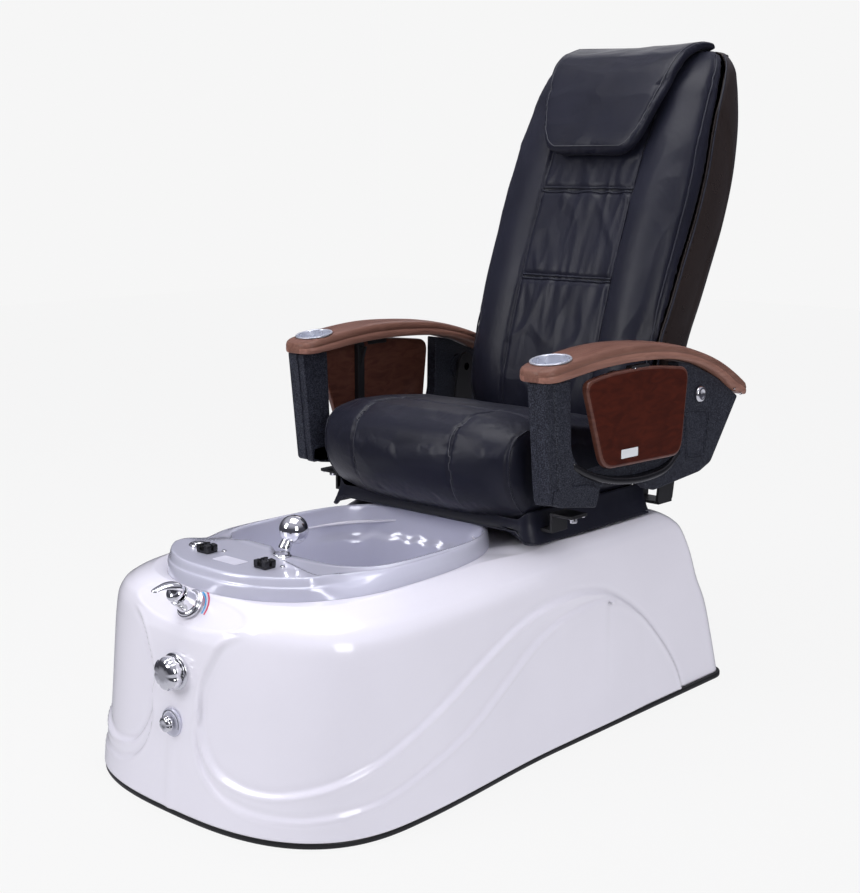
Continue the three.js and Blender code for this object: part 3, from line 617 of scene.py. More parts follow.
def base_point(x, y, share, inset=0.0):
    """Where a place of the foot comes at a share of the base's height."""
    drawn = mix(BASE_LEVELS(share, 2), BASE_LEVELS(share, 3), ease(300, 620, y)) + inset
    at_front = clamp((120 - y) / (120 - BASE_FRONT))
    at_rear = clamp((y - 620) / (BASE_REAR - 620))
    new_y = y + (BASE_LEVELS(share, 1) + inset) * at_front - (BASE_LEVELS(share, 4) + inset) * at_rear
    return x * (BASE_HALF - drawn) / BASE_HALF, new_y, top_of_base(new_y) * share


# The moulded steps on each side, as (distance round the foot from the front middle, height).
UPPER_STEP = [
    (156, 352), (113, 326), (86, 288), (67, 243), (66, 196), (80, 148), (118, 106), (168, 90), (225, 86),
    (287, 95), (345, 109), (405, 128), (468, 149), (535, 172), (607, 198), (690, 232), (772, 263), (850, 288),
    (925, 303), (1000, 309), (1087, 297), (1172, 269), (1252, 222), (1312, 165), (1357, 108), (1385, 55),
    (1400, -30),
]
LOWER_STEP = [
    (66, 215), (58, 160), (76, 110), (110, 77), (160, 56), (226, 48), (287, 48), (345, 54), (405, 62),
    (468, 74), (541, 91), (627, 114), (702, 143), (767, 176), (837, 215), (900, 247), (965, 268), (1047, 278),
    (1130, 272), (1220, 232), (1290, 170), (1335, 108), (1362, 55), (1380, -30),
]
STEP_HEIGHT = 5.2
STEP_LIP = 2.2


def signed_distance(points, line, closing):
    """Distance from each point to the line, positive inside the area that closing makes with it."""
    curve = smooth_line(line, 260)
    loop = np.vstack([curve, np.array(closing, float)])
    nearest = np.full(len(points), 1e9)
    for a, b in zip(curve[:-1], curve[1:]):
        step = b - a
        t = np.clip(((points - a) @ step) / (step @ step), 0, 1)[:, None]
        nearest = np.minimum(nearest, np.linalg.norm(points - (a + t * step), axis=1))
    inside = np.zeros(len(points), bool)
    ends = np.roll(loop, -1, axis=0)
    for (ax, ay), (bx, by) in zip(loop, ends):
        if ay == by:
            continue
        crosses = (points[:, 1] < ay) != (points[:, 1] < by)
        where = (bx - ax) * (points[:, 1] - ay) / (by - ay) + ax
        inside ^= crosses & (points[:, 0] < where)
    return np.where(inside, nearest, -nearest)


def step_profile(distance):
    """Height of a moulded step: a hollow in front of it, a rise, and a soft lip on its edge."""
    rise = np.clip((distance + 5) / 10, 0, 1)
    rise = rise * rise * (3 - 2 * rise)
    bead = STEP_LIP * np.exp(-(((distance - 5) / 4.5) ** 2))
    hollow = 1.4 * np.exp(-(((distance + 9) / 5) ** 2))
    return STEP_HEIGHT * rise + bead - hollow


def base_shell():
    shares = list(np.linspace(FOOT_SHARE, 0.86, 92)) + list(np.linspace(0.865, 1.0, 34))
    count = len(PLAN)
    rows = []
    flat = []
    for share in shares:
        rows.append([base_point(x, y, share) for x, y in PLAN])
        flat += [(PLAN_ALONG[i], p[2]) for i, p in enumerate(rows[-1])]
    places = np.array(flat)
    floor_left, floor_end = (-60, -60), (1400, -60)
    upper = signed_distance(places, UPPER_STEP, [floor_end, floor_left, (-60, 420), (130, 420)])
    lower = signed_distance(places, LOWER_STEP, [floor_end, floor_left, (-60, 420), (66, 420)])
    raise_upper = step_profile(upper)
    raise_lower = step_profile(lower) * np.clip((1260 - places[:, 0]) / 160, 0, 1)
    below_facet = np.clip((352 - places[:, 1]) / 26, 0, 1)
    low_fade = np.clip((240 - places[:, 1] + np.maximum(0, places[:, 0] - 120)) / 60, 0, 1)
    amount = (raise_upper * below_facet + raise_lower * low_fade).reshape(len(shares), count)
    facet_normal = Vector((0, FACET_LOW[1] - FACET_HIGH[1], FACET_HIGH[0] - FACET_LOW[0])).normalized()
    facet_foot = Vector((0, *FACET_LOW))
    for r, row in enumerate(rows):
        for c, (x, y, z) in enumerate(row):
            before = row[max(0, c - 1)]
            after = row[min(count - 1, c + 1)]
            out = Vector((after[1] - before[1], before[0] - after[0])).normalized()
            push = amount[r][c] - STEP_HEIGHT * 0.5
            p = Vector((x + out.x * push, y + out.y * push, z))
            over = (p - facet_foot).dot(facet_normal) + 1.0
            if over > 0 and y < 0 and z > 320:
                p -= facet_normal * over * ease(0, 3.5, over)
            row[c] = tuple(p)
    # the opening for the tub, and the flat land between the shoulder and the opening
    shoulder = rows[-1]
    opening_middle, half_wide, half_long_rear, half_long_front, power = 190, 214, 305, 308, 2.4
    opening = []
    for x, y, z in shoulder:
        away = y - opening_middle
        dx, dy = x / half_wide, away / (half_long_rear if away > 0 else half_long_front)
        scale = min((abs(dx) ** power + abs(dy) ** power) ** (-1 / power), 1.0)
        new_y = opening_middle + away * scale
        opening.append((x * scale, new_y, top_of_base(new_y)))
    for t in (0.04, 0.1, 0.25, 0.5, 0.75, 1.0):
        rows.append([tuple(mix(a, b, t) for a, b in zip(p, q)) for p, q in zip(shoulder, opening)])
    whole = [mirrored(row) for row in rows]
    shell = skin("base_shell_skin", whole, PEARL_WHITE)
    thick = shell.modifiers.new("wall", "SOLIDIFY")
    thick.thickness = 0.004
    thick.offset = -1
    return settle(shell, "base", "pearl_white", "base_shell")


def floor_trim():
    def ring(inset, z):
        half = [base_point(x, y, FOOT_SHARE, inset) for x, y in PLAN]
        return mirrored([(x, y, z) for x, y, _ in half])

    section = [(6, 0.4), (-3.2, 0.4), (-4, 2), (-4, 8), (-3.4, 10.4), (-2, 11.6), (0, 12), (6, 12), (6, 0.4)]
    trim = skin("floor_bead", [ring(inset, z) for inset, z in section], RUBBER)
    return settle(trim, "base", "rubber", "floor_trim")


# ---- basin ----
RIM_CENTRE = (0, 200)
AROUND = 480
RIDGE_SAG = 1.6  # how much lower the side ridges are than the deck's edge
TUB_TOP = 418
TUB_FLOOR = 150


def superellipse(half, middle, front, rear, front_power, rear_power):
    """A closed outline from its widest place forwards to front and backwards to rear."""
    count = 400
    points = []
    for i in range(count):
        angle = 2 * math.pi * i / count
        c, s = math.cos(angle), math.sin(angle)
        power = front_power if c > 0 else rear_power
        reach = (middle - front) if c > 0 else (rear - middle)
        points.append((half * signed_power(s, 2 / power), middle - reach * signed_power(c, 2 / power)))
    return points


def polar(outline):
    """An outline as its distance from the rim's centre in each direction."""
    p = np.array(outline, float) - np.array(RIM_CENTRE)
    angle = np.arctan2(p[:, 0], -p[:, 1])
    order = np.argsort(angle)
    angle = angle[order]
    reach = np.linalg.norm(p, axis=1)[order]
    wanted = np.linspace(-math.pi, math.pi, AROUND, endpoint=False)
    return np.interp(wanted, angle, reach, period=2 * math.pi)


TUB_EDGE = polar(superellipse(212, 262, 46, 490, 4.6, 2.7))
RIM_EDGE = polar(superellipse(249, 120, -148, 525, 2.3, 2.5))
DIRECTIONS = [(math.sin(a), -math.cos(a)) for a in np.linspace(-math.pi, math.pi, AROUND, endpoint=False)]


def rim_point(i, reach):
    dx, dy = DIRECTIONS[i]
    return RIM_CENTRE[0] + dx * reach, RIM_CENTRE[1] + dy * reach


def degrees_from_front(i):
    dx, dy = DIRECTIONS[i]
    return math.degrees(math.atan2(abs(dx), -dy))


def ridge_reach():
    """The edge line of the deck in front, which runs on as a ridge along the sides of the rim."""
    deck = polar(superellipse(196, -20, -135, 520, 2.3, 2.5))
    reach = []
    for i in range(AROUND):
        side = mix(TUB_EDGE[i], RIM_EDGE[i], 0.42)
        front = min(deck[i], RIM_EDGE[i] - 11)
        reach.append(mix(front, side, ease(40, 66, degrees_from_front(i))))
    return reach


RIDGE = ridge_reach()


def deck_height(x, y, near_edge=0.0):
    """Height of the rim's top: the raised deck in front, with the lower hollow behind the shower.

    near_edge is 1 on the deck's front edge, where the hollow never reaches.
    """
    raised = 1 - ease(-34, 34, y) * ease(120, 190, abs(x))
    raised *= 1 - ease(20, 66, y) * ease(90, 130, abs(x))
    hollow_line = np.interp(x, [-40, -16, 20, 75, 140, 215, 262], [60, 34, 6, -10, -28, -42, -56])
    raised *= 1 - ease(-3, 13, y - hollow_line) * (1 - near_edge)
    return 430 + 8 * raised


def basin():
    rows = []

    def ring(reach_of, height_of):
        points = []
        for i in range(AROUND):
            x, y = rim_point(i, reach_of(i))
            points.append((x, y, height_of(i, x, y)))
        return points

    def frontness(i):
        return 1 - ease(36, 62, degrees_from_front(i))

    front_fall = Profile((0, 0), (0.1, 0.02), (0.24, 0.10), (0.38, 0.26), (0.46, 0.36), (0.56, 0.40),
                         (0.68, 0.43), (0.78, 0.50), (0.88, 0.66), (0.95, 0.84), (1, 1))
    side_fall = Profile((0, 0), (0.1, 0.02), (0.25, 0.08), (0.42, 0.2), (0.6, 0.38), (0.75, 0.56),
                        (0.86, 0.73), (0.94, 0.87), (1, 1))

    def outer_height(t):
        def height(i, x, y):
            top = deck_height(*rim_point(i, RIDGE[i]), 1) - RIDGE_SAG * (1 - frontness(i))
            foot = top_of_base(rim_point(i, RIM_EDGE[i])[1]) + 0.4
            return mix(top, foot, mix(side_fall(t), front_fall(t), frontness(i)))

        return height

    for t in np.linspace(1, 0, 26):
        rows.append(ring(lambda i, t=t: mix(RIDGE[i], RIM_EDGE[i], t), outer_height(t)))
    for t in list(np.linspace(0.97, 0.1, 26)) + [0.07, 0.04, 0.02]:

        def inner_height(i, x, y, t=t):
            sag = RIDGE_SAG * (1 - frontness(i)) * ease(0.35, 1.0, t)
            lip = 0.8 * math.exp(-(((t - 0.06) * (RIDGE[i] - TUB_EDGE[i]) - 4) / 4) ** 2)
            return deck_height(x, y, ease(0.7, 0.96, t)) - sag + lip

        rows.append(ring(lambda i, t=t: mix(TUB_EDGE[i], RIDGE[i], t), inner_height))
    edge_height = [deck_height(*rim_point(i, TUB_EDGE[i])) for i in range(AROUND)]
    for inset, drop in ((0, 0.3), (1.2, 1.2), (2.2, 3), (3, 6), (4, 12)):
        rows.append(ring(lambda i, d=inset: TUB_EDGE[i] - d, lambda i, x, y, d=drop: edge_height[i] - d))

    wall = Profile((0, 4), (0.5, 20), (0.82, 34), (0.92, 42), (0.97, 54), (1.0, 74))
    for t in np.linspace(0.04, 1, 46):
        z = mix(TUB_TOP, TUB_FLOOR, t)

        def reach(i, t=t, z=z):
            dx, dy = DIRECTIONS[i]
            inset = wall(t)
            rearward = ease(0.35, 0.8, dy)
            x = dx * TUB_EDGE[i]
            ledge = 366 + 3 * math.cos(x / 8)
            inset += 8 * rearward * (1 - ease(ledge - 8, ledge + 4, z))
            return TUB_EDGE[i] - inset

        rows.append(ring(reach, lambda i, x, y, z=z: z))
    floor = rows[-1]
    for t in (0.7, 0.4, 0.23):
        rows.append([(mix(0, x, t), mix(290, y, t), z) for x, y, z in floor])
    tub = skin("basin_skin", rows, PEARL_SILVER)
    return settle(tub, "base", "pearl_silver", "basin")


# ---- water works ----
def facet_frame():
    low = Vector((0, FACET_LOW[0], FACET_LOW[1]))
    high = Vector((0, FACET_HIGH[0], FACET_HIGH[1]))
    way = (high - low).normalized()
    return way, Vector((0, -way.z, way.y))


def on_facet(across, up, out):
    way, normal = facet_frame()
    return Vector((0, -168.6, 375)) + Vector((across, 0, 0)) + way * up + normal * out


BLADE_START = Vector((0, -190, 411))
BLADE_TIP = Vector((0, -254, 418))


def chrome_fitting(name, profile, radius, place, way, body, *nodes):
    """A turned chrome piece with its corners rounded, settled on its body."""
    return settle(turned(name, soften(profile, radius), place, way, CHROME), body, "chrome", *nodes)


def mixer():
    _, normal = facet_frame()
    origin = on_facet(0, 0, 0)
    flange = [(12, 2), (27, 2), (29, 3.5), (28.4, 7), (26, 8.6), (25, 11), (22, 12), (12, 12)]
    chrome_fitting("mixer_ring", flange, 1, origin, normal, "base", "mixer_flange")
    cone = [(6, 12.4), (21.5, 12.4), (21, 17), (19.8, 28), (19.4, 36), (18.6, 38), (17.6, 37), (14, 30),
            (6, 28)]
    chrome_fitting("mixer_cone", cone, 1.2, origin, normal, "mixer_body", "mixer_body")
    dome = [(0.1, -17), (8, -15.4), (14, -10), (17.4, -2), (17.6, 4), (14, 9), (7, 11), (0.1, 11.4)]
    hub = turned("mixer_hub", soften(dome, 2), on_facet(0, 0, 46), normal, CHROME)
    rows = []
    for t in np.linspace(0, 1.0, 30):
        middle = BLADE_START.lerp(BLADE_TIP, t) + Vector((0, 0, 7 * math.sin(math.pi * t)))
        end = math.sqrt(max(0.03, 1 - max(0, (t - 0.86) / 0.15) ** 2))
        wide = mix(17, 8.5, ease(0.1, 0.95, t)) * end * (0.6 + 0.4 * math.sqrt(clamp(t * 6)))
        thick = mix(9, 2.6, ease(0.1, 0.9, t)) * end * (0.5 + 0.5 * math.sqrt(clamp(t * 6)))
        ring = []
        for k in range(28):
            angle = 2 * math.pi * k / 28
            x = wide * signed_power(math.cos(angle), 0.8)
            z = thick * signed_power(math.sin(angle), 0.8)
            ring.append((x, middle.y, middle.z + z - 1.8 * (x / wide) ** 2))
        rows.append(ring)
    blade = skin("mixer_blade", rows, CHROME, caps=True)
    settle(joined("mixer_handle", hub, blade), "mixer_lever", "chrome", "mixer_lever")


def facet_arcs():
    """A plain hot and cold mark beside the mixer, lying on the slope."""
    arcs = (
        ("hot_mark", 43, 3.4, HOT_RED, -6, 88),
        ("gap_mark", 39.6, 1.6, WHITE_RING, -6, 88),
        ("cold_mark", 36, 3.4, COLD_BLUE, -6, 74),
        ("inner_mark", 32.4, 1.6, HOT_RED, 20, 80),
    )
    for name, radius, wide, material, start, end in arcs:
        rows = []
        for r in (radius - wide / 2, radius + wide / 2):
            row = []
            for angle in np.linspace(math.radians(start), math.radians(end), 30):
                row.append(tuple(on_facet(r * math.cos(angle) - 2, r * math.sin(angle) - 6, 0.0)))
            rows.append(row)
        mark = skin(name, rows, material, around=False)
        wrap = mark.modifiers.new("stuck_on", "SHRINKWRAP")
        wrap.target = bpy.data.objects["base_shell_skin"]
        wrap.wrap_method = "NEAREST_SURFACEPOINT"
        wrap.wrap_mode = "ABOVE_SURFACE"
        wrap.offset = 0.0004
        settle(joined(name + "_decal", mark), "base", "pearl_white")


def knob(name, place, radius, depth, lobes, body, node, dimple):
    """A chrome knob with finger hollows, turned towards -Y."""
    x0, y0, z0 = place
    middle = depth * dimple
    profile = [(0.86, 2), (0.95, 3), (1.0, 6), (1.01, 10), (1.0, depth * 0.6), (0.96, depth * 0.75),
               (0.88, depth * 0.87), (0.76, depth * 0.95), (0.6, depth), (0.3, middle), (0.01, middle)]
    rows = []
    for share, away in profile:
        ring = []
        for i in range(120):
            angle = 2 * math.pi * i / 120
            hollow = 0.09 * max(0, math.cos(angle * lobes)) ** 1.5 * ease(0.3, 0.75, share)
            r = radius * share * (1 - hollow)
            ring.append((x0 + r * math.cos(angle), y0 - away, z0 + r * math.sin(angle)))
        rows.append(ring)
    piece = skin(name, rows, CHROME)
    return settle(piece, body, "chrome", node)


def front_controls():
    knob("drain_knob_grip", (0, -214, 262), 31, 26, 6, "drain_knob", "drain_knob", 1.0)
    collar = [(20, -6), (34, -6), (34, 1.2), (30, 3), (20, 3)]
    chrome_fitting("drain_knob_collar", collar, 1, (0, -211, 262), FORWARD, "base")
    knob("jet_knob_grip", (0, -225, 170), 15, 16, 6, "jet_knob", "jet_knob", 0.94)
    plate = turned("jet_dial", soften([(6, -3), (26.6, -3), (26.6, 1.6), (25, 2.8), (6, 2.8)], 0.8),
                   (0, -221.5, 170), FORWARD, PEARL_SILVER)
    settle(plate, "base", "pearl_silver", "jet_dial_plate")
    for i, (radius, material) in enumerate(((22.5, THREAD), (19.5, WHITE_RING))):
        points = [at(radius * math.cos(a), -224.5, 170 + radius * math.sin(a))
                  for a in np.linspace(math.radians(-20), math.radians(200), 50)]
        settle(tube(f"jet_dial_arc_{i}", points, 1.0, material, 8, flat=0.5), "base", "pearl_silver")


def hand_shower():
    stem = Vector((0.06, 0.52, 1)).normalized()
    foot = Vector((21.5, 27, 430))
    socket = [(12.6, -2), (19, -2), (19, 1.6), (16.6, 3), (16, 6), (13, 6), (12.6, -2)]
    chrome_fitting("shower_ring", socket, 0.8, foot, UP, "base", "shower_socket")
    neck_side = [(0.1, 11), (11.6, 11.5), (12.6, 17), (11, 25), (10.4, 36), (10.4, 50)]
    neck = turned("shower_neck", soften(neck_side, 3), foot, stem, CHROME)
    band_side = [(9, 22), (12.2, 22.6), (12.2, 25), (9, 25.6)]
    band = turned("shower_band", soften(band_side, 0.5), foot, stem, CHROME)
    centre = foot + stem * 52 + Vector((0, 5, 0))
    aim = Vector((0.12, 0.78, -0.6)).normalized()
    ball = [(0.1, -27.6)]
    ball += [(27.6 * math.cos(a), 27.6 * math.sin(a)) for a in np.linspace(-1.5, 0.72, 34)]
    ball += [(20.4, 18.8), (20.2, 20), (18.8, 20.8), (17.6, 20.2), (17, 19.4), (0.1, 20.2)]
    head = turned("shower_head", ball, centre, aim, CHROME)
    nozzles = []
    turn = Vector((0, 0, 1)).rotation_difference(aim)
    for radius, count in ((5, 6), (10, 10), (14.5, 16)):
        for k in range(count):
            angle = 2 * math.pi * k / count
            spot = centre + turn @ Vector((radius * math.cos(angle), radius * math.sin(angle), 19.6))
            nozzles.append(turned("nozzle", [(0.1, 1.2), (0.8, 1.0), (1.0, 0)], spot, aim, BLACK_PLASTIC_AND_SLOT_SHADE, 8))
    settle(joined("shower_handset", neck, band, head, *nozzles), "hand_shower", "chrome", "hand_shower")


def cross_screw(name, place, way, radius, body, slot="chrome"):
    """A domed chrome screw head with a cross slot; the slot is two thin black bars, painted shade standing in for
    its recess.
    """
    dome = [(radius, -0.6), (radius, 0.6), (radius * 0.8, radius * 0.42), (0.1, radius * 0.5)]
    head = turned("head", soften(dome, 0.6), place, way, CHROME, 32)
    direction = Vector(way).normalized()
    first = direction.orthogonal().normalized()
    second = direction.cross(first)
    top = at(*place) + direction * radius * 0.00049
    # the cross slot: black bars on the dome, painted shade where the real slot is a shaded chrome recess
    slot_shade_bars = []
    for side in (first, second):
        line = [top - side * radius * 0.00055, top + side * radius * 0.00055]
        slot_shade_bars.append(tube("slot", line, radius * 0.1, BLACK_PLASTIC_AND_SLOT_SHADE, 6))
    return settle(joined(name, head, *slot_shade_bars), body, slot)


def deck_fittings():
    place = (-130, -46, 438)
    ring = [(11.6, -1), (19, -1), (19, 2.4), (17.4, 4.6), (14, 5), (11.8, 4.2), (11.6, -1)]
    chrome_fitting("air_switch_ring", ring, 0.8, place, UP, "base", "air_button_bezel")
    button = [(0.1, -10), (11, -10), (11, 6), (9.4, 7.8), (6, 7.2), (0.1, 6.8)]
    chrome_fitting("air_switch_button", button, 0.8, place, UP, "air_button", "air_button")
    for name, sign in SIDES:
        x, y, z = sign * 81, -66, 438.3
        outline = rounded(rectangle(x - 16, y - 13, x + 16, y + 13), 3)
        parts = [slab("foot", outline, z, z + 5, BLACK_PLASTIC_AND_SLOT_SHADE, "z", 1.0)]
        for jaw in (-1, 1):
            for end in (-1, 1):
                outline = rounded([(x + jaw * 5, z + 3), (x + jaw * 16, z + 3), (x + jaw * 16, z + 14.5),
                                   (x + jaw * 4, z + 16.4), (x + jaw * 6.5, z + 9)], 2.0, 4)
                low, high = sorted((y + end * 3, y + end * 12.6))
                parts.append(slab("jaw", outline, low, high, BLACK_PLASTIC_AND_SLOT_SHADE, "y", 0.9))
        settle(joined(f"rest_clip_{name}", *parts), "base", "black_plastic", f"footrest_clip_{name}")
        cross_screw(f"clip_screw_{name}", (x, y, z + 5), UP, 3.6, "base")
        cross_screw(f"deck_screw_{name}", (x + 20, y + 24, 438.4), UP, 4.6, "base")
    outline = rounded(rectangle(-36, -92, 30, -60), 5)
    label = slab("blank_deck_label", outline, 438.1, 438.5, CLEAR_LABEL, "z", 0.1)
    settle(label, "base", "pearl_silver")
    drain_place = (0, 290, TUB_FLOOR)
    drain = [(17, -4), (17, 2), (19, 3), (30, 3), (35, 1.6), (36, 0.2), (30, 0.2)]
    chrome_fitting("drain_ring", drain, 0.8, drain_place, UP, "base", "drain_flange")
    plug = [(0.1, 3.4), (15, 3.4), (20.6, 6), (20.6, 8.6), (13, 11.6), (0.1, 12.8)]
    chrome_fitting("drain_plug", plug, 1.5, drain_place, UP, "drain_stopper", "drain_stopper")
    cover = soften([(33, 5), (33, 9), (47, 9), (51.6, 13), (51.6, 17), (48, 23), (34, 28), (0.1, 30)], 3)
    grille = turned("jet_grille", cover, (0, 74, 250), (0, 1, 0), PEARL_SILVER)
    settle(grille, "base", "pearl_silver", "jet_cover")


# ---- soft goods ----
def wrinkle(x, y, z, scale, seed):
    """Ridged noise, 0 in the hollows and 1 on the creases."""
    place = Vector((x * scale[0], y * scale[1], z * scale[2]))
    value = noise.noise(place + Vector((seed, seed * 1.7, seed * 0.3)))
    return 1 - min(1.0, abs(value) * 3.2)


def puff(obj, voxel, cap, pressure=4.0):
    """Swells a closed skin with a cloth simulation, then caps how far each point has gone."""
    remesh = obj.modifiers.new("remesh", "REMESH")
    remesh.mode = "VOXEL"
    remesh.voxel_size = voxel
    apply_modifiers(obj)
    start = np.array([v.co for v in obj.data.vertices])
    cloth = obj.modifiers.new("cloth", "CLOTH")
    cloth.settings.quality = 5
    cloth.settings.mass = 0.3
    cloth.settings.use_pressure = True
    cloth.settings.uniform_pressure_force = pressure
    cloth.settings.effector_weights.gravity = 0
    cloth.collision_settings.use_collision = False
    for number in range(1, 15):
        bpy.context.scene.frame_set(number)
    apply_modifiers(obj)
    bpy.context.scene.frame_set(1)
    moved = np.array([v.co for v in obj.data.vertices]) - start
    far = np.linalg.norm(moved, axis=1)[:, None]
    kept = start + moved * np.minimum(1, cap / np.maximum(far, 1e-9))
    obj.data.vertices.foreach_set("co", kept.ravel())
    obj.data.update()


def apply_modifiers(obj):
    graph = bpy.context.evaluated_depsgraph_get()
    mesh = bpy.data.meshes.new_from_object(obj.evaluated_get(graph))
    obj.modifiers.clear()
    obj.data = mesh
    for face in mesh.polygons:
        face.use_smooth = True


def refine(obj):
    mod = obj.modifiers.new("finer", "SUBSURF")
    mod.levels = 1
    mod.render_levels = 1
    apply_modifiers(obj)


def sculpt(obj, height):
    """Moves each point along its normal by height(x, y, z, normal) millimetres of the layout."""
    mesh = obj.data
    mesh.update()
    normals = [v.normal.copy() for v in mesh.vertices]
    for vertex, normal in zip(mesh.vertices, normals):
        x, y, z = vertex.co * 1000
        vertex.co += normal * height(x, y - SHIFT_Y, z, normal) * 0.001
    mesh.update()


def on_surface(obj, points, out=0.0):
    """Points moved onto the nearest place of a mesh."""
    tree = BVHTree.FromObject(obj, bpy.context.evaluated_depsgraph_get())
    result = []
    for p in points:
        spot, normal, _, _ = tree.find_nearest(Vector(p))
        result.append(spot + normal * out * 0.001)
    return result


def groove(distance, depth, width):
    return -depth * math.exp(-((distance / width) ** 2))


# height, front face, front edge of the side band, seam with the shell, and half width
BACK = Profile(
    (500, 858, 864, 872, 212),
    (566, 850, 862, 878, 220),
    (640, 842, 866, 890, 250),
    (700, 850, 876, 900, 256),
    (777, 870, 897, 912, 258),
    (840, 890, 915, 942, 260),
    (940, 924, 954, 987, 262),
    (1027, 957, 990, 1030, 262),
    (1141, 1004, 1034, 1076, 260),
    (1205, 1034, 1058, 1096, 257),
    (1274, 1072, 1094, 1121, 253),
    (1330, 1100, 1124, 1151, 245),
    (1372, 1138, 1158, 1180, 228),
    (1396, 1176, 1188, 1198, 202),
)
PANEL_HALF = 124
PIPED_SEAMS = (897, 1092)


def back_front(u, z):
    """Depth of the leather front at u from -1 to 1 across: a middle panel between two rounded bolsters."""
    front, edge, half = BACK(z, 1), BACK(z, 2), BACK(z, 4)
    x = abs(u) * half
    bulge = ease(560, 760, z) * (1 - ease(1300, 1396, z))
    if x < PANEL_HALF:
        return front + 5 * bulge * (1 - (x / PANEL_HALF) ** 2) * 0.4 + 3 * bulge
    t = (x - PANEL_HALF) / max(1, half - PANEL_HALF)
    crown = -11 * bulge * math.sin(math.pi * min(1, t * 1.15)) ** 0.8 if t < 0.87 else 0
    return mix(front + 3 * bulge, edge, t**2.6) + crown


def back_cushion():
    heights = list(np.linspace(504, 1386, 90)) + [1391, 1394.5, 1396]
    rows = []
    for z in heights:
        seam, half, edge = BACK(z, 3), BACK(z, 4), BACK(z, 2)
        shrink = 0.94 if z > 1395 else 0.98 if z > 1392 else 1
        row = []
        for u in np.linspace(-1, 1, 73):
            rim = 1 - 0.035 * ease(0.9, 1.0, abs(u))
            row.append((u * half * rim * shrink, back_front(u, z), z))
        band = np.linspace(0.2, 1, 5)
        for sign, steps in ((1, band), (-1, band[::-1])):
            for t in steps:
                swell = 3 * math.sin(math.pi * t)
                x = half * shrink * mix(0.965, 1, ease(0, 0.4, t)) + swell - 3
                row.append((sign * x, mix(edge, seam, t), z))
        rows.append(row)
    pad = skin("back_pad", rows, LEATHER_BACK, caps=True)
    puff(pad, 0.008, 0.006, 2.0)
    refine(pad)

    def shape(x, y, z, normal):
        side = abs(x)
        front = clamp(-normal.y * 2)
        half = BACK(z, 4)
        total = groove(side - PANEL_HALF, 5.0, 4.0) * front
        if side < PANEL_HALF + 6:
            for seam in PIPED_SEAMS:
                away = z - seam
                total += groove(away, 6.5, 9) * front * (1 - ease(PANEL_HALF - 8, PANEL_HALF + 4, side))
                reach = 70 if away < 0 else 40
                near = math.exp(-abs(away) / reach)
                total += 4.2 * near * (wrinkle(x, 0, z, (0.028, 1, 0.006), seam) - 0.45) * front
            total += 2.6 * (wrinkle(x, 0, z, (0.012, 1, 0.009), 3.0) - 0.5) * front
        else:
            lean = z * 0.6 - side * 0.8
            outer = ease(PANEL_HALF + 20, half, side)
            total += 2.2 * (wrinkle(lean, x, z, (0.013, 0.006, 0.005), 11.0) ** 2 - 0.3) * outer * front
            total += 1.0 * (wrinkle(x, x, z, (0.009, 0.004, 0.006), 5.0) - 0.5) * front
            total += groove(side - half * 0.955, 2.0, 3.5) * front
        if front < 0.4 and z < 960:
            total += 2.2 * (wrinkle(0, y * 0.4, z, (1, 0.05, 0.03), 21.0) - 0.5)
        return total * (1 - ease(1370, 1394, z)) * ease(504, 530, z)

    sculpt(pad, shape)
    settle(pad, "back", "leather", "back_cushion")

    cords = []
    for sign in (-1, 1):
        edge = [at(sign * BACK(z, 4) * 0.972, BACK(z, 2) - 5, z) for z in np.linspace(560, 1384, 120)]
        band = [at(sign * (BACK(z, 4) + 1), BACK(z, 3) - 1, z) for z in np.linspace(540, 1384, 120)]
        panel = [at(sign * PANEL_HALF, BACK(z, 1), z) for z in np.linspace(560, 1300, 120)]
        cords.append(tube("edge", on_surface(pad, edge, 0.6), 2.3, PIPING))
        cords.append(tube("band", band, 2.0, PIPING))
        cords.append(tube("panel", on_surface(pad, panel, 0.2), 1.0, PIPING))
    for seam in PIPED_SEAMS:
        for away in (-3.2, 3.2):
            z = seam + away
            line = [at(x, BACK(z, 1), z) for x in np.linspace(-PANEL_HALF, PANEL_HALF, 60)]
            cords.append(tube("piped", on_surface(pad, line, 1.4), 2.4, PIPING))
    settle(joined("back_piping", *cords), "back", "leather")


# distance up the pillow from its lower end, then its half width
PILLOW_HALF = Profile((0, 134), (45, 138), (90, 151), (140, 165), (200, 175), (280, 181), (400, 182))


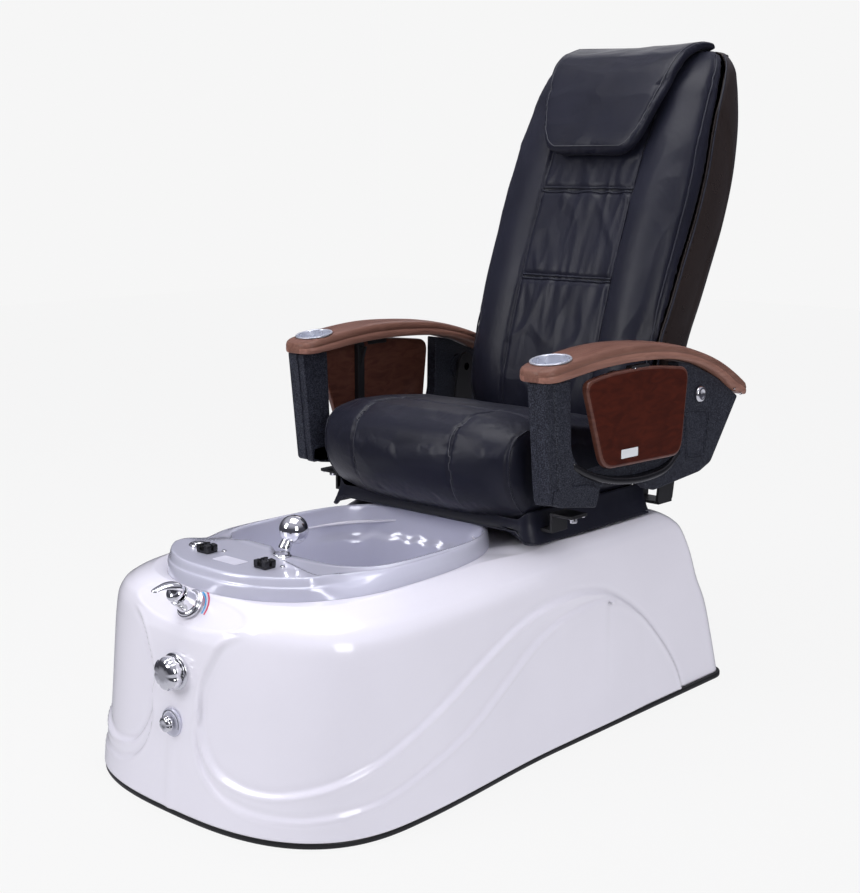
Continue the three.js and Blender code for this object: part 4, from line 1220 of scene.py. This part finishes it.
def head_pillow():
    spine = smooth_line([(1004, 1166), (1012, 1196), (1028, 1236), (1062, 1306), (1106, 1368), (1150, 1391),
                         (1186, 1399), (1216, 1397)], 90)
    slope = np.gradient(spine, axis=0)
    length = lengths_along(spine)
    corner, total = 58, length[-1]
    rows = []
    for i, (y, z) in enumerate(spine):
        run = Vector(slope[i]).normalized()
        s = length[i]
        half = PILLOW_HALF(s)
        if s < corner:
            half -= corner - math.sqrt(max(0, corner**2 - (corner - s) ** 2))
        thick = mix(31, 21, ease(120, total, s)) * (0.35 + 0.65 * math.sqrt(clamp(s / 12)))
        if s > total - 10:
            thick *= 0.4 + 0.6 * math.sqrt(clamp((total - s) / 10))
        row = []
        for k in range(64):
            angle = 2 * math.pi * k / 64
            c, n = math.cos(angle), math.sin(angle)
            x = half * signed_power(c, 0.22)
            out = thick * (0.5 + 0.5 * signed_power(n, 0.45))
            sag = 3 + 8 * ease(200, 270, s) * (1 - (x / half) ** 2)
            row.append((x, y - run.y * out, z + run.x * out - sag))
        rows.append(row)
    pad = skin("head_pad", rows, LEATHER, caps=True)
    puff(pad, 0.005, 0.004)
    refine(pad)

    def shape(x, y, z, normal):
        s = length[int(np.argmin((spine[:, 0] - y) ** 2 + (spine[:, 1] - z) ** 2))]
        up = clamp(-normal.y * 1.3 + normal.z * 0.8)
        limit = PILLOW_HALF(s) - 12
        total_height = groove(abs(x) - limit, 1.6, 2.6) * up if s > 60 else 0
        total_height += 1.4 * (wrinkle(x, y, z, (0.008, 0.02, 0.012), 8.0) - 0.5) * up
        return total_height

    sculpt(pad, shape)
    settle(pad, "back", "leather", "head_pillow")
    line = []
    for sign in (-1, 1):
        side = []
        for s in np.linspace(total - 8, 12, 70):
            i = min(int(np.searchsorted(length, s)), len(spine) - 1)
            run = Vector(slope[i]).normalized()
            y, z = spine[i]
            half = PILLOW_HALF(s) - 12
            if s < corner + 8:
                tight = corner - 6
                half -= tight - math.sqrt(max(0, tight**2 - max(0, corner + 8 - s) ** 2 * 0.8))
            side.append(at(sign * half, y - run.y * 30, z + run.x * 30))
        line += side if sign < 0 else list(reversed(side))
    settle(tube("pillow_stitch", on_surface(pad, line, 0.1), 0.9, THREAD, 6), "back", "leather")


SEAT_SEAM = 134
SEAT_HALF = 262
SEAT_SIDE = rounded(
    [(484, 450, 20), (412, 462, 34), (371, 510, 60), (358, 566, 60), (365, 630, 40), (408, 655, 40),
     (520, 653, 60), (620, 645, 60), (828, 604, 30), (836, 520, 20), (832, 450, 8)],
    20,
    10,
)
# distance from the middle, share of the full section kept, and how far the front is swept back
SEAT_ENDS = Profile((0, 1, 0), (90, 1, 1), (134, 1, 5), (200, 0.996, 20), (236, 0.99, 31), (250, 0.984, 35),
                    (258, 0.968, 37), (SEAT_HALF, 0.925, 38))


def seat_point(x, y, z):
    keep = SEAT_ENDS(abs(x), 1)
    back = SEAT_ENDS(abs(x), 2) * ease(640, 470, y)
    droop = 12 * ease(140, SEAT_HALF, abs(x)) * ease(560, 640, z)
    return x, mix(600, y, keep) + back, max(446.6, mix(560, z, keep) - droop)


def seat_cushion():
    half = (0, 30, 60, 90, 112, 134, 156, 178, 200, 218, 232, 242, 249, 254, 258, SEAT_HALF)
    places = [-x for x in reversed(half[1:])] + list(half)
    rows = [[seat_point(x, y, z) for y, z in SEAT_SIDE] for x in places]
    pad = skin("seat_pad", rows, LEATHER, caps=True)
    puff(pad, 0.006, 0.005)
    refine(pad)

    def shape(x, y, z, normal):
        upper = clamp(0.4 + normal.z * 2 - normal.y) if z > 455 else 0
        total = groove(abs(x) - SEAT_SEAM, 4.2, 4.5) * clamp(upper) * (1 - ease(506, 514, y))
        total += groove(y - 514, 3.4, 5) * clamp(normal.z * 2)
        if abs(x) > SEAT_SEAM:
            panel = clamp((abs(x) - SEAT_SEAM) / (SEAT_HALF - SEAT_SEAM))
            total += 2.6 * math.sin(math.pi * panel) ** 0.7 * upper
        total += 1.6 * (wrinkle(x, y, z, (0.007, 0.012, 0.01), 4.0) - 0.5) * upper
        near = math.exp(-abs(abs(x) - SEAT_SEAM) / 16)
        total += 1.5 * near * (wrinkle(x, y, z, (0.01, 0.06, 0.06), 6.0) - 0.4) * upper
        total += groove(abs(x) - 250, 2.0, 3.0) * clamp(-normal.y * 2) * ease(470, 500, z)
        return total

    sculpt(pad, shape)
    settle(pad, "seat", "leather", "seat_cushion")
    threads = []
    front_half = [p for p in SEAT_SIDE if p[1] > 470 and p[0] < 530]
    path = smooth_line(sorted(front_half, key=lambda p: math.atan2(p[1] - 540, 600 - p[0])), 160)
    for sign in (-1, 1):
        line = [at(*seat_point(sign * SEAT_SEAM, y, z)) for y, z in path]
        threads.append(tube("seam", on_surface(pad, line, -0.2), 1.0, THREAD, 6))
        line = [at(*seat_point(sign * 256, y, z)) for y, z in path]
        threads.append(tube("end", on_surface(pad, line, 0.4), 1.7, PIPING, 8))
    settle(joined("seat_stitching", *threads), "seat", "leather")


def seat_skirt():
    levels = [(2, 478, 461), (3, 464, 456), (5, 450, 450), (9, 438, 444), (13, 428, 440), (17, 420, 437.6),
              (18, 416, 436.8)]
    rows = []
    for grow, side_z, front_z in smooth_line(levels, 16):
        corners = [(266 + grow, 842, 2), (266 + grow, 450 - grow / 3, 30), (-266 - grow, 450 - grow / 3, 30),
                   (-266 - grow, 842, 2)]
        outline = []
        path = rounded(corners, 26, 10)[9:-9]
        for a, b in zip(path, path[1:]):
            steps = max(1, int(math.dist(a, b) / 12))
            outline += [(mix(a[0], b[0], k / steps), mix(a[1], b[1], k / steps)) for k in range(steps)]
        outline.append(path[-1])
        row = []
        for x, y in outline:
            z = mix(front_z, side_z, ease(240, 266, abs(x)))
            hang = ease(478, 430, side_z)
            fold = 2.6 * hang * (wrinkle(x, y, 0, (0.012, 0.012, 1), 14.0) - 0.5)
            row.append((x + math.copysign(fold, x) * ease(200, 266, abs(x)), y, z))
        rows.append(row)
    sheet = skin("skirt_sheet", rows, LEATHER, around=False)
    thick = sheet.modifiers.new("leather", "SOLIDIFY")
    thick.thickness = 0.003
    thick.offset = 0
    hem = tube("hem", [at(*p) for p in rows[-1]], 2.4, PIPING, 8)
    piece = joined("seat_skirt_leather", sheet, hem)
    settle(piece, "seat", "leather", "seat_skirt")


# ---- the moulded shell of the back ----
SHELL_REAR = Profile(
    (500, 960), (566, 1022), (640, 1086), (760, 1160), (900, 1232), (1020, 1287), (1140, 1322), (1230, 1330),
    (1290, 1316), (1340, 1294), (1375, 1270), (1396, 1254),
)


def back_shell():
    heights = list(np.linspace(502, 1388, 110)) + [1391, 1393.5, 1395]
    swoop = smooth_line([(766, 1024), (869, 1071), (953, 1110), (1035, 1176), (1121, 1186), (1200, 1168),
                         (1262, 1140)], 60)
    rows = []
    for z in heights:
        seam, half, rear = BACK(z, 3), BACK(z, 4), SHELL_REAR(z)
        close = 0.94 if z > 1394 else 0.975 if z > 1391 else 1
        row = []
        for i in range(89):
            angle = i / 88 * math.pi
            x = -math.cos(angle) * (half - 1)
            depth = math.sin(angle) ** 0.62
            y = seam + depth * (rear - seam)
            if 740 < z < 1290:
                line = float(np.interp(z, swoop[:, 0], swoop[:, 1]))
                hollow = 4.0 * (1 - ease(-8, 8, y - line)) * ease(740, 800, z) * (1 - ease(1240, 1290, z))
                x -= math.copysign(hollow * (1 - depth**3), x)
            lip = 6 * math.exp(-(((z - 1352) / 16) ** 2)) * (0.3 + 0.7 * depth)
            y += lip * 0.6
            x += math.copysign(lip * 0.4, x) * (1 - depth)
            row.append((x * close, min(y, 1332), z))
        rows.append(row)
    shell = skin("back_shell_skin", rows, SHELL_BLACK, around=False)
    thick = shell.modifiers.new("wall", "SOLIDIFY")
    thick.thickness = 0.004
    thick.offset = -1
    lids = []
    for row in (rows[0], rows[-1]):
        verts = [at(*p) for p in row]
        lids.append(make("lid", verts, [tuple(range(len(row)))], SHELL_BLACK))
    settle(joined("back_shell_moulding", shell, *lids), "back", "back_shell_gloss", "back_shell")

    rows = []
    for share in np.linspace(-1, 1, 41):
        fill = max(0.05, 1 - abs(share) ** 5) ** 0.5
        ring = []
        for k in range(32):
            angle = 2 * math.pi * k / 32
            ring.append((204 * share, 1222 + 38 * fill * math.cos(angle), 1386 + 14 * fill * math.sin(angle)))
        rows.append(ring)
    settle(skin("back_top_roll", rows, LEATHER, caps=True), "back", "leather")


# ---- arms ----
ARM_UNDER = [(440, 750), (530, 759), (620, 763), (700, 762), (790, 756), (885, 738), (985, 700), (1052, 662)]
ARM_TOP_LINE = [(1114, 664), (1000, 727), (885, 767), (790, 788), (690, 797), (600, 799), (500, 791),
                (384, 772)]
ARM_FRAME = [
    (389, 746.6, 3), (413, 511, 8), (441, 503, 6), (554, 484, 6), (572, 526, 12), (640, 531, 20), (703, 517, 20),
    (752, 486, 12), (930, 500, 6), (973, 515, 8), (1074, 648, 6), (985, 698.6, 0), (885, 736.6, 0), (835, 746, 4),
    (832, 600, 34), (780, 553, 34), (640, 560, 30), (520, 556, 30), (474, 600, 24), (466, 751.4, 3),
    (440, 748.8, 2),
]
COLUMN_FRONT = Profile((506, 417), (516, 415), (640, 402), (745, 391))
# the ledge under the tray: place along the arm, height, and how far it stands out
LEDGE = [(482, 583, 4), (510, 567, 10), (562, 547, 16), (640, 531, 19), (718, 527, 19), (795, 535, 14),
         (850, 558, 4)]
CUP_TILT = Vector((0, -0.155, 1)).normalized()
BELT_SHARE = 0.50  # height of the groove between the armrest's paler lower band and its top


def armrest(name, sign):
    low = Profile((380, 745), *[(y, z) for y, z in ARM_UNDER], (1104, 646))
    high = Profile((380, 771), *[(y, z) for y, z in reversed(ARM_TOP_LINE)], (1120, 660))
    rows = []
    places = list(382 + 36 * (np.linspace(0, 1, 18) ** 1.8)) + list(np.linspace(424, 1060, 90))
    places += list(np.linspace(1064, 1107, 12))
    for y in places:
        front = math.sqrt(max(0.0, 1 - max(0, (418 - y) / 37) ** 2.4))
        end = math.sqrt(max(0.0, 1 - max(0, (y - 1084) / 24) ** 2.2))
        narrow = front * end
        inner = mix(281, 279, ease(392, 460, y)) + 12 * ease(900, 1107, y)
        outer = 371.4 - 7 * ease(900, 1107, y)
        middle, half = (inner + outer) / 2, (outer - inner) / 2
        half = 8 + (half - 8) * narrow
        z0, z1 = low(y), high(y)
        z1 = mix(z1 - 5, z1, narrow)
        z0 = mix(z0 + 4, z0, narrow)
        belt = mix(z0, z1, BELT_SHARE)
        outer_side = [
            (0.80, z0), (0.93, z0 + 1.2), (0.985, z0 + 4), (1.0, mix(z0, belt, 0.6)), (0.995, belt - 1.6),
            (0.965, belt), (0.995, belt + 1.6), (0.99, mix(belt, z1, 0.35)), (0.95, z1 - 4.5), (0.86, z1 - 1.6),
            (0.70, z1), (0.3, z1 + 1.0),
        ]
        inner_side = [(-u, z) for u, z in reversed(outer_side)]
        section = inner_side[-1:] + outer_side + inner_side[:-1]
        rows.append([(sign * (middle + u * half), y, z) for u, z in section])
    rest = skin("rest", rows, ARM_TOP, caps=True)
    rest.data.materials.append(ARM_BAND)
    for face in rest.data.polygons:
        y = face.center.y * 1000 - SHIFT_Y
        if face.center.z * 1000 < mix(low(y), high(y), BELT_SHARE):
            face.material_index = 1
    well_side = [(0.1, -27), (38.2, -27), (38.2, 60), (0.1, 60)]
    well = turned("well", well_side, cup_place(sign, 0), CUP_TILT, ARM_TOP)
    hole = rest.modifiers.new("cup", "BOOLEAN")
    hole.object = well
    hole.operation = "DIFFERENCE"
    apply_modifiers(rest)
    bpy.data.objects.remove(well)
    settle(joined(f"arm_top_{name}", rest), f"arm_{name}", "arm_brown", f"armrest_{name}")
    cup_side = soften([(0.1, -24), (28, -24), (35, -20.5), (36.4, 1.4), (37.6, 2.8), (40.2, 3.0), (41, 1.2),
                       (40.6, -0.4), (38, -0.6), (37.8, -25), (0.1, -25.6)], 1.2)
    cup = turned(f"cup_{name}", cup_side, cup_place(sign, 1.2), CUP_TILT, CUP_SILVER)
    settle(cup, f"arm_{name}", "cup_silver", f"cup_holder_{name}")
    for i, (y, z) in enumerate(((1040, 670), (1068, 655))):
        cross_screw(f"arm_screw_{name}_{i}", (sign * 364, y, z - 1), (0, 0.5, -0.85), 3.2, f"arm_{name}")


def cup_place(sign, height):
    return Vector((sign * 325, 441, 782.5)) + CUP_TILT * height


def arm_frame(name, sign):
    body = f"arm_{name}"
    outline = rounded(ARM_FRAME, 3, 10)
    panel = slab("panel", outline, sign * 326, sign * 353, SPECKLED, "x", 3.2, 4)
    rows = []
    for z in (506, 509, 516, 560, 620, 680, 735, 742, 745):
        front = COLUMN_FRONT(z) + 3 * ease(516, 506, z)
        rear = mix(474, 463, (z - 506) / 239)
        shape = rounded([(308, front, 3), (331, front + 2, 1.5), (333, front + 5, 1.5), (356.6, front + 23, 5),
                         (356.6, rear, 3), (308, rear, 3)], 3, 5)
        rows.append([(sign * x, y, z) for x, y in shape])
    column = bevel(skin("column", rows, SPECKLED, caps=True), 1.5)
    foot = rounded([(416, 512, 6), (441, 503, 6), (553, 485, 6), (566, 520, 12), (540, 534, 16),
                    (470, 540, 10), (420, 538, 6)], 3, 8)
    sole = slab("foot", foot, sign * 308, sign * 356.8, SPECKLED, "x", 3, 3)
    boss = turned("boss", soften([(11, -30), (27, -30), (27, 0), (24, 2.4), (11, 2.4)], 1.5),
                  (sign * 352, 914, 670), (sign, 0, 0), SPECKLED)
    emboss = []
    for margin in (0, 5):
        ring = rounded([(862 + margin, 640 - margin, 12), (960 - margin, 630 - margin, 12),
                        (946 - margin, 530 + margin, 12), (872 + margin, 536 + margin, 12)], 12, 6)
        line = [at(sign * 353.1, y, z) for y, z in ring]
        emboss.append(tube("emboss", line, 1.1, SPECKLED, 6, closed=True))
    ledge_rows = []
    for y, z, out in smooth_line(LEDGE, 60):
        section = [(0, 5), (out - 3, 2), (out - 0.6, 0.4), (out, -3), (out, -8), (out - 1.5, -11), (0, -14)]
        ledge_rows.append([(sign * (350 + x), y, z + up) for x, up in section])
    ledge = skin("ledge", ledge_rows, BLACK_PLASTIC_AND_SLOT_SHADE, caps=True)
    settle(joined(f"side_frame_{name}", panel, column, sole, boss, ledge, *emboss), body,
           "textured_black", f"arm_frame_{name}")


def tray(name, sign):
    body = f"tray_{name}"
    outline = rounded([(486, 740, 26), (560, 751, 40), (700, 754, 60), (844, 737, 30), (823, 554, 34),
                       (549, 562, 34)], 20, 12)
    inner = rounded([(492, 735, 24), (560, 745.5, 40), (700, 748.5, 60), (838, 732, 28), (818, 559.5, 31),
                     (554, 567.5, 31)], 20, 12)
    board = slab("board", outline, sign * 359, sign * 374.4, MAHOGANY_EDGE, "x", 5, 5)
    face = slab("face", inner, sign * 371, sign * 375.2, MAHOGANY, "x", 1.2, 3)
    settle(joined(f"tray_board_{name}", board, face), body, "mahogany", f"tray_{name}")
    sticker = rounded([(606, 577, 2), (606, 595, 2), (663, 594, 2), (663, 576, 2)], 2, 4)
    label = slab(f"tray_sticker_{name}", sticker, sign * 375.3, sign * 375.7, LABEL, "x", 0.1)
    settle(label, body, "mahogany")
    outline = rounded(rectangle(640, 742, 700, 757), 2, 4)
    rail = slab("rail", outline, sign * 357, sign * 372, STEEL_BLACK, "x", 1.0)
    settle(joined(f"tray_hinge_{name}", rail), body, "steel_black")
    cross_screw(f"tray_screw_{name}", (sign * 372, 652, 750), (sign, 0, 0), 3.4, body)
    for i, z in enumerate((590, 726)):
        cross_screw(f"tray_bar_screw_{name}_{i}", (sign * 346, 606, z), (-sign, 0, 0), 3.2, body)


def supports(name, sign):
    place, way = (sign * 297, 914, 670), (sign, 0, 0)
    bolt = soften([(9, 58), (17.2, 58), (17.6, 62), (15, 66), (11, 67.4), (7, 65), (0.1, 63.6)], 1.4)
    piece = turned(f"pivot_bolt_head_{name}", bolt, place, way, CHROME)
    shaft = turned("shaft", [(9, 0), (9, 60)], place, way, CHROME)
    settle(joined(f"pivot_bolt_{name}", piece, shaft), "seat", "chrome", f"arm_pivot_bolt_{name}")
    outline = rounded(rectangle(sign * 296, 478, sign * 352, 532), 6)
    plate = slab("plate", outline, 471.6, 477.6, STEEL_BLACK, "z", 1.2)
    hexagon = turned("nut", soften([(0.1, -12), (8.4, -12), (9.4, -10.8), (9.4, -1)], 0.6),
                     (sign * 336, 505, 472), UP, CHROME, 6)
    settle(joined(f"arm_foot_plate_{name}", plate, hexagon), "seat", "steel_black")
    for i, y in enumerate((486, 524)):
        cross_screw(f"foot_plate_screw_{name}_{i}", (sign * 346, y, 471), (0, 0, -1), 4.2, "seat")


# ---- carried-over CAD pieces ----
KEPT = {
    "drain_pipe": PVC, "jet_motor": BLACK_PLASTIC_AND_SLOT_SHADE, "mixer_valve": STEEL_BLACK, "drain_cable_guide": BLACK_PLASTIC_AND_SLOT_SHADE,
    "base_frame": STEEL_BLACK, "slide_motor": BLACK_PLASTIC_AND_SLOT_SHADE, "control_box": BLACK_PLASTIC_AND_SLOT_SHADE,
    "seat_carriage": STEEL_BLACK, "seat_pan": PLYWOOD, "recline_actuator": BLACK_PLASTIC_AND_SLOT_SHADE,
    "back_frame": STEEL_BLACK, "massage_unit": BLACK_PLASTIC_AND_SLOT_SHADE,
}
for side_name, _ in SIDES:
    KEPT[f"front_foot_{side_name}"] = RUBBER
    KEPT[f"rear_foot_{side_name}"] = RUBBER
    KEPT[f"seat_rail_{side_name}"] = STEEL_BLACK
    KEPT[f"arm_support_{side_name}"] = STEEL_BLACK
    KEPT[f"arm_pivot_plate_{side_name}"] = STEEL_BLACK
    KEPT[f"tray_bracket_{side_name}"] = STEEL_BLACK


def dress_kept_nodes():
    for node, material in KEPT.items():
        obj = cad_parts[node]
        obj.data.materials.clear()
        obj.data.materials.append(material)
        weld = obj.modifiers.new("weld", "WELD")
        weld.merge_threshold = 0.00005
        bevel(obj, 0.8, 2, 40)


# ---- build ----
set_camera()
set_stage()
base_shell()
floor_trim()
basin()
mixer()
facet_arcs()
front_controls()
hand_shower()
deck_fittings()
seat_cushion()
seat_skirt()
back_cushion()
head_pillow()
back_shell()
for side_name, side_sign in SIDES:
    armrest(side_name, side_sign)
    arm_frame(side_name, side_sign)
    tray(side_name, side_sign)
    supports(side_name, side_sign)
dress_kept_nodes()
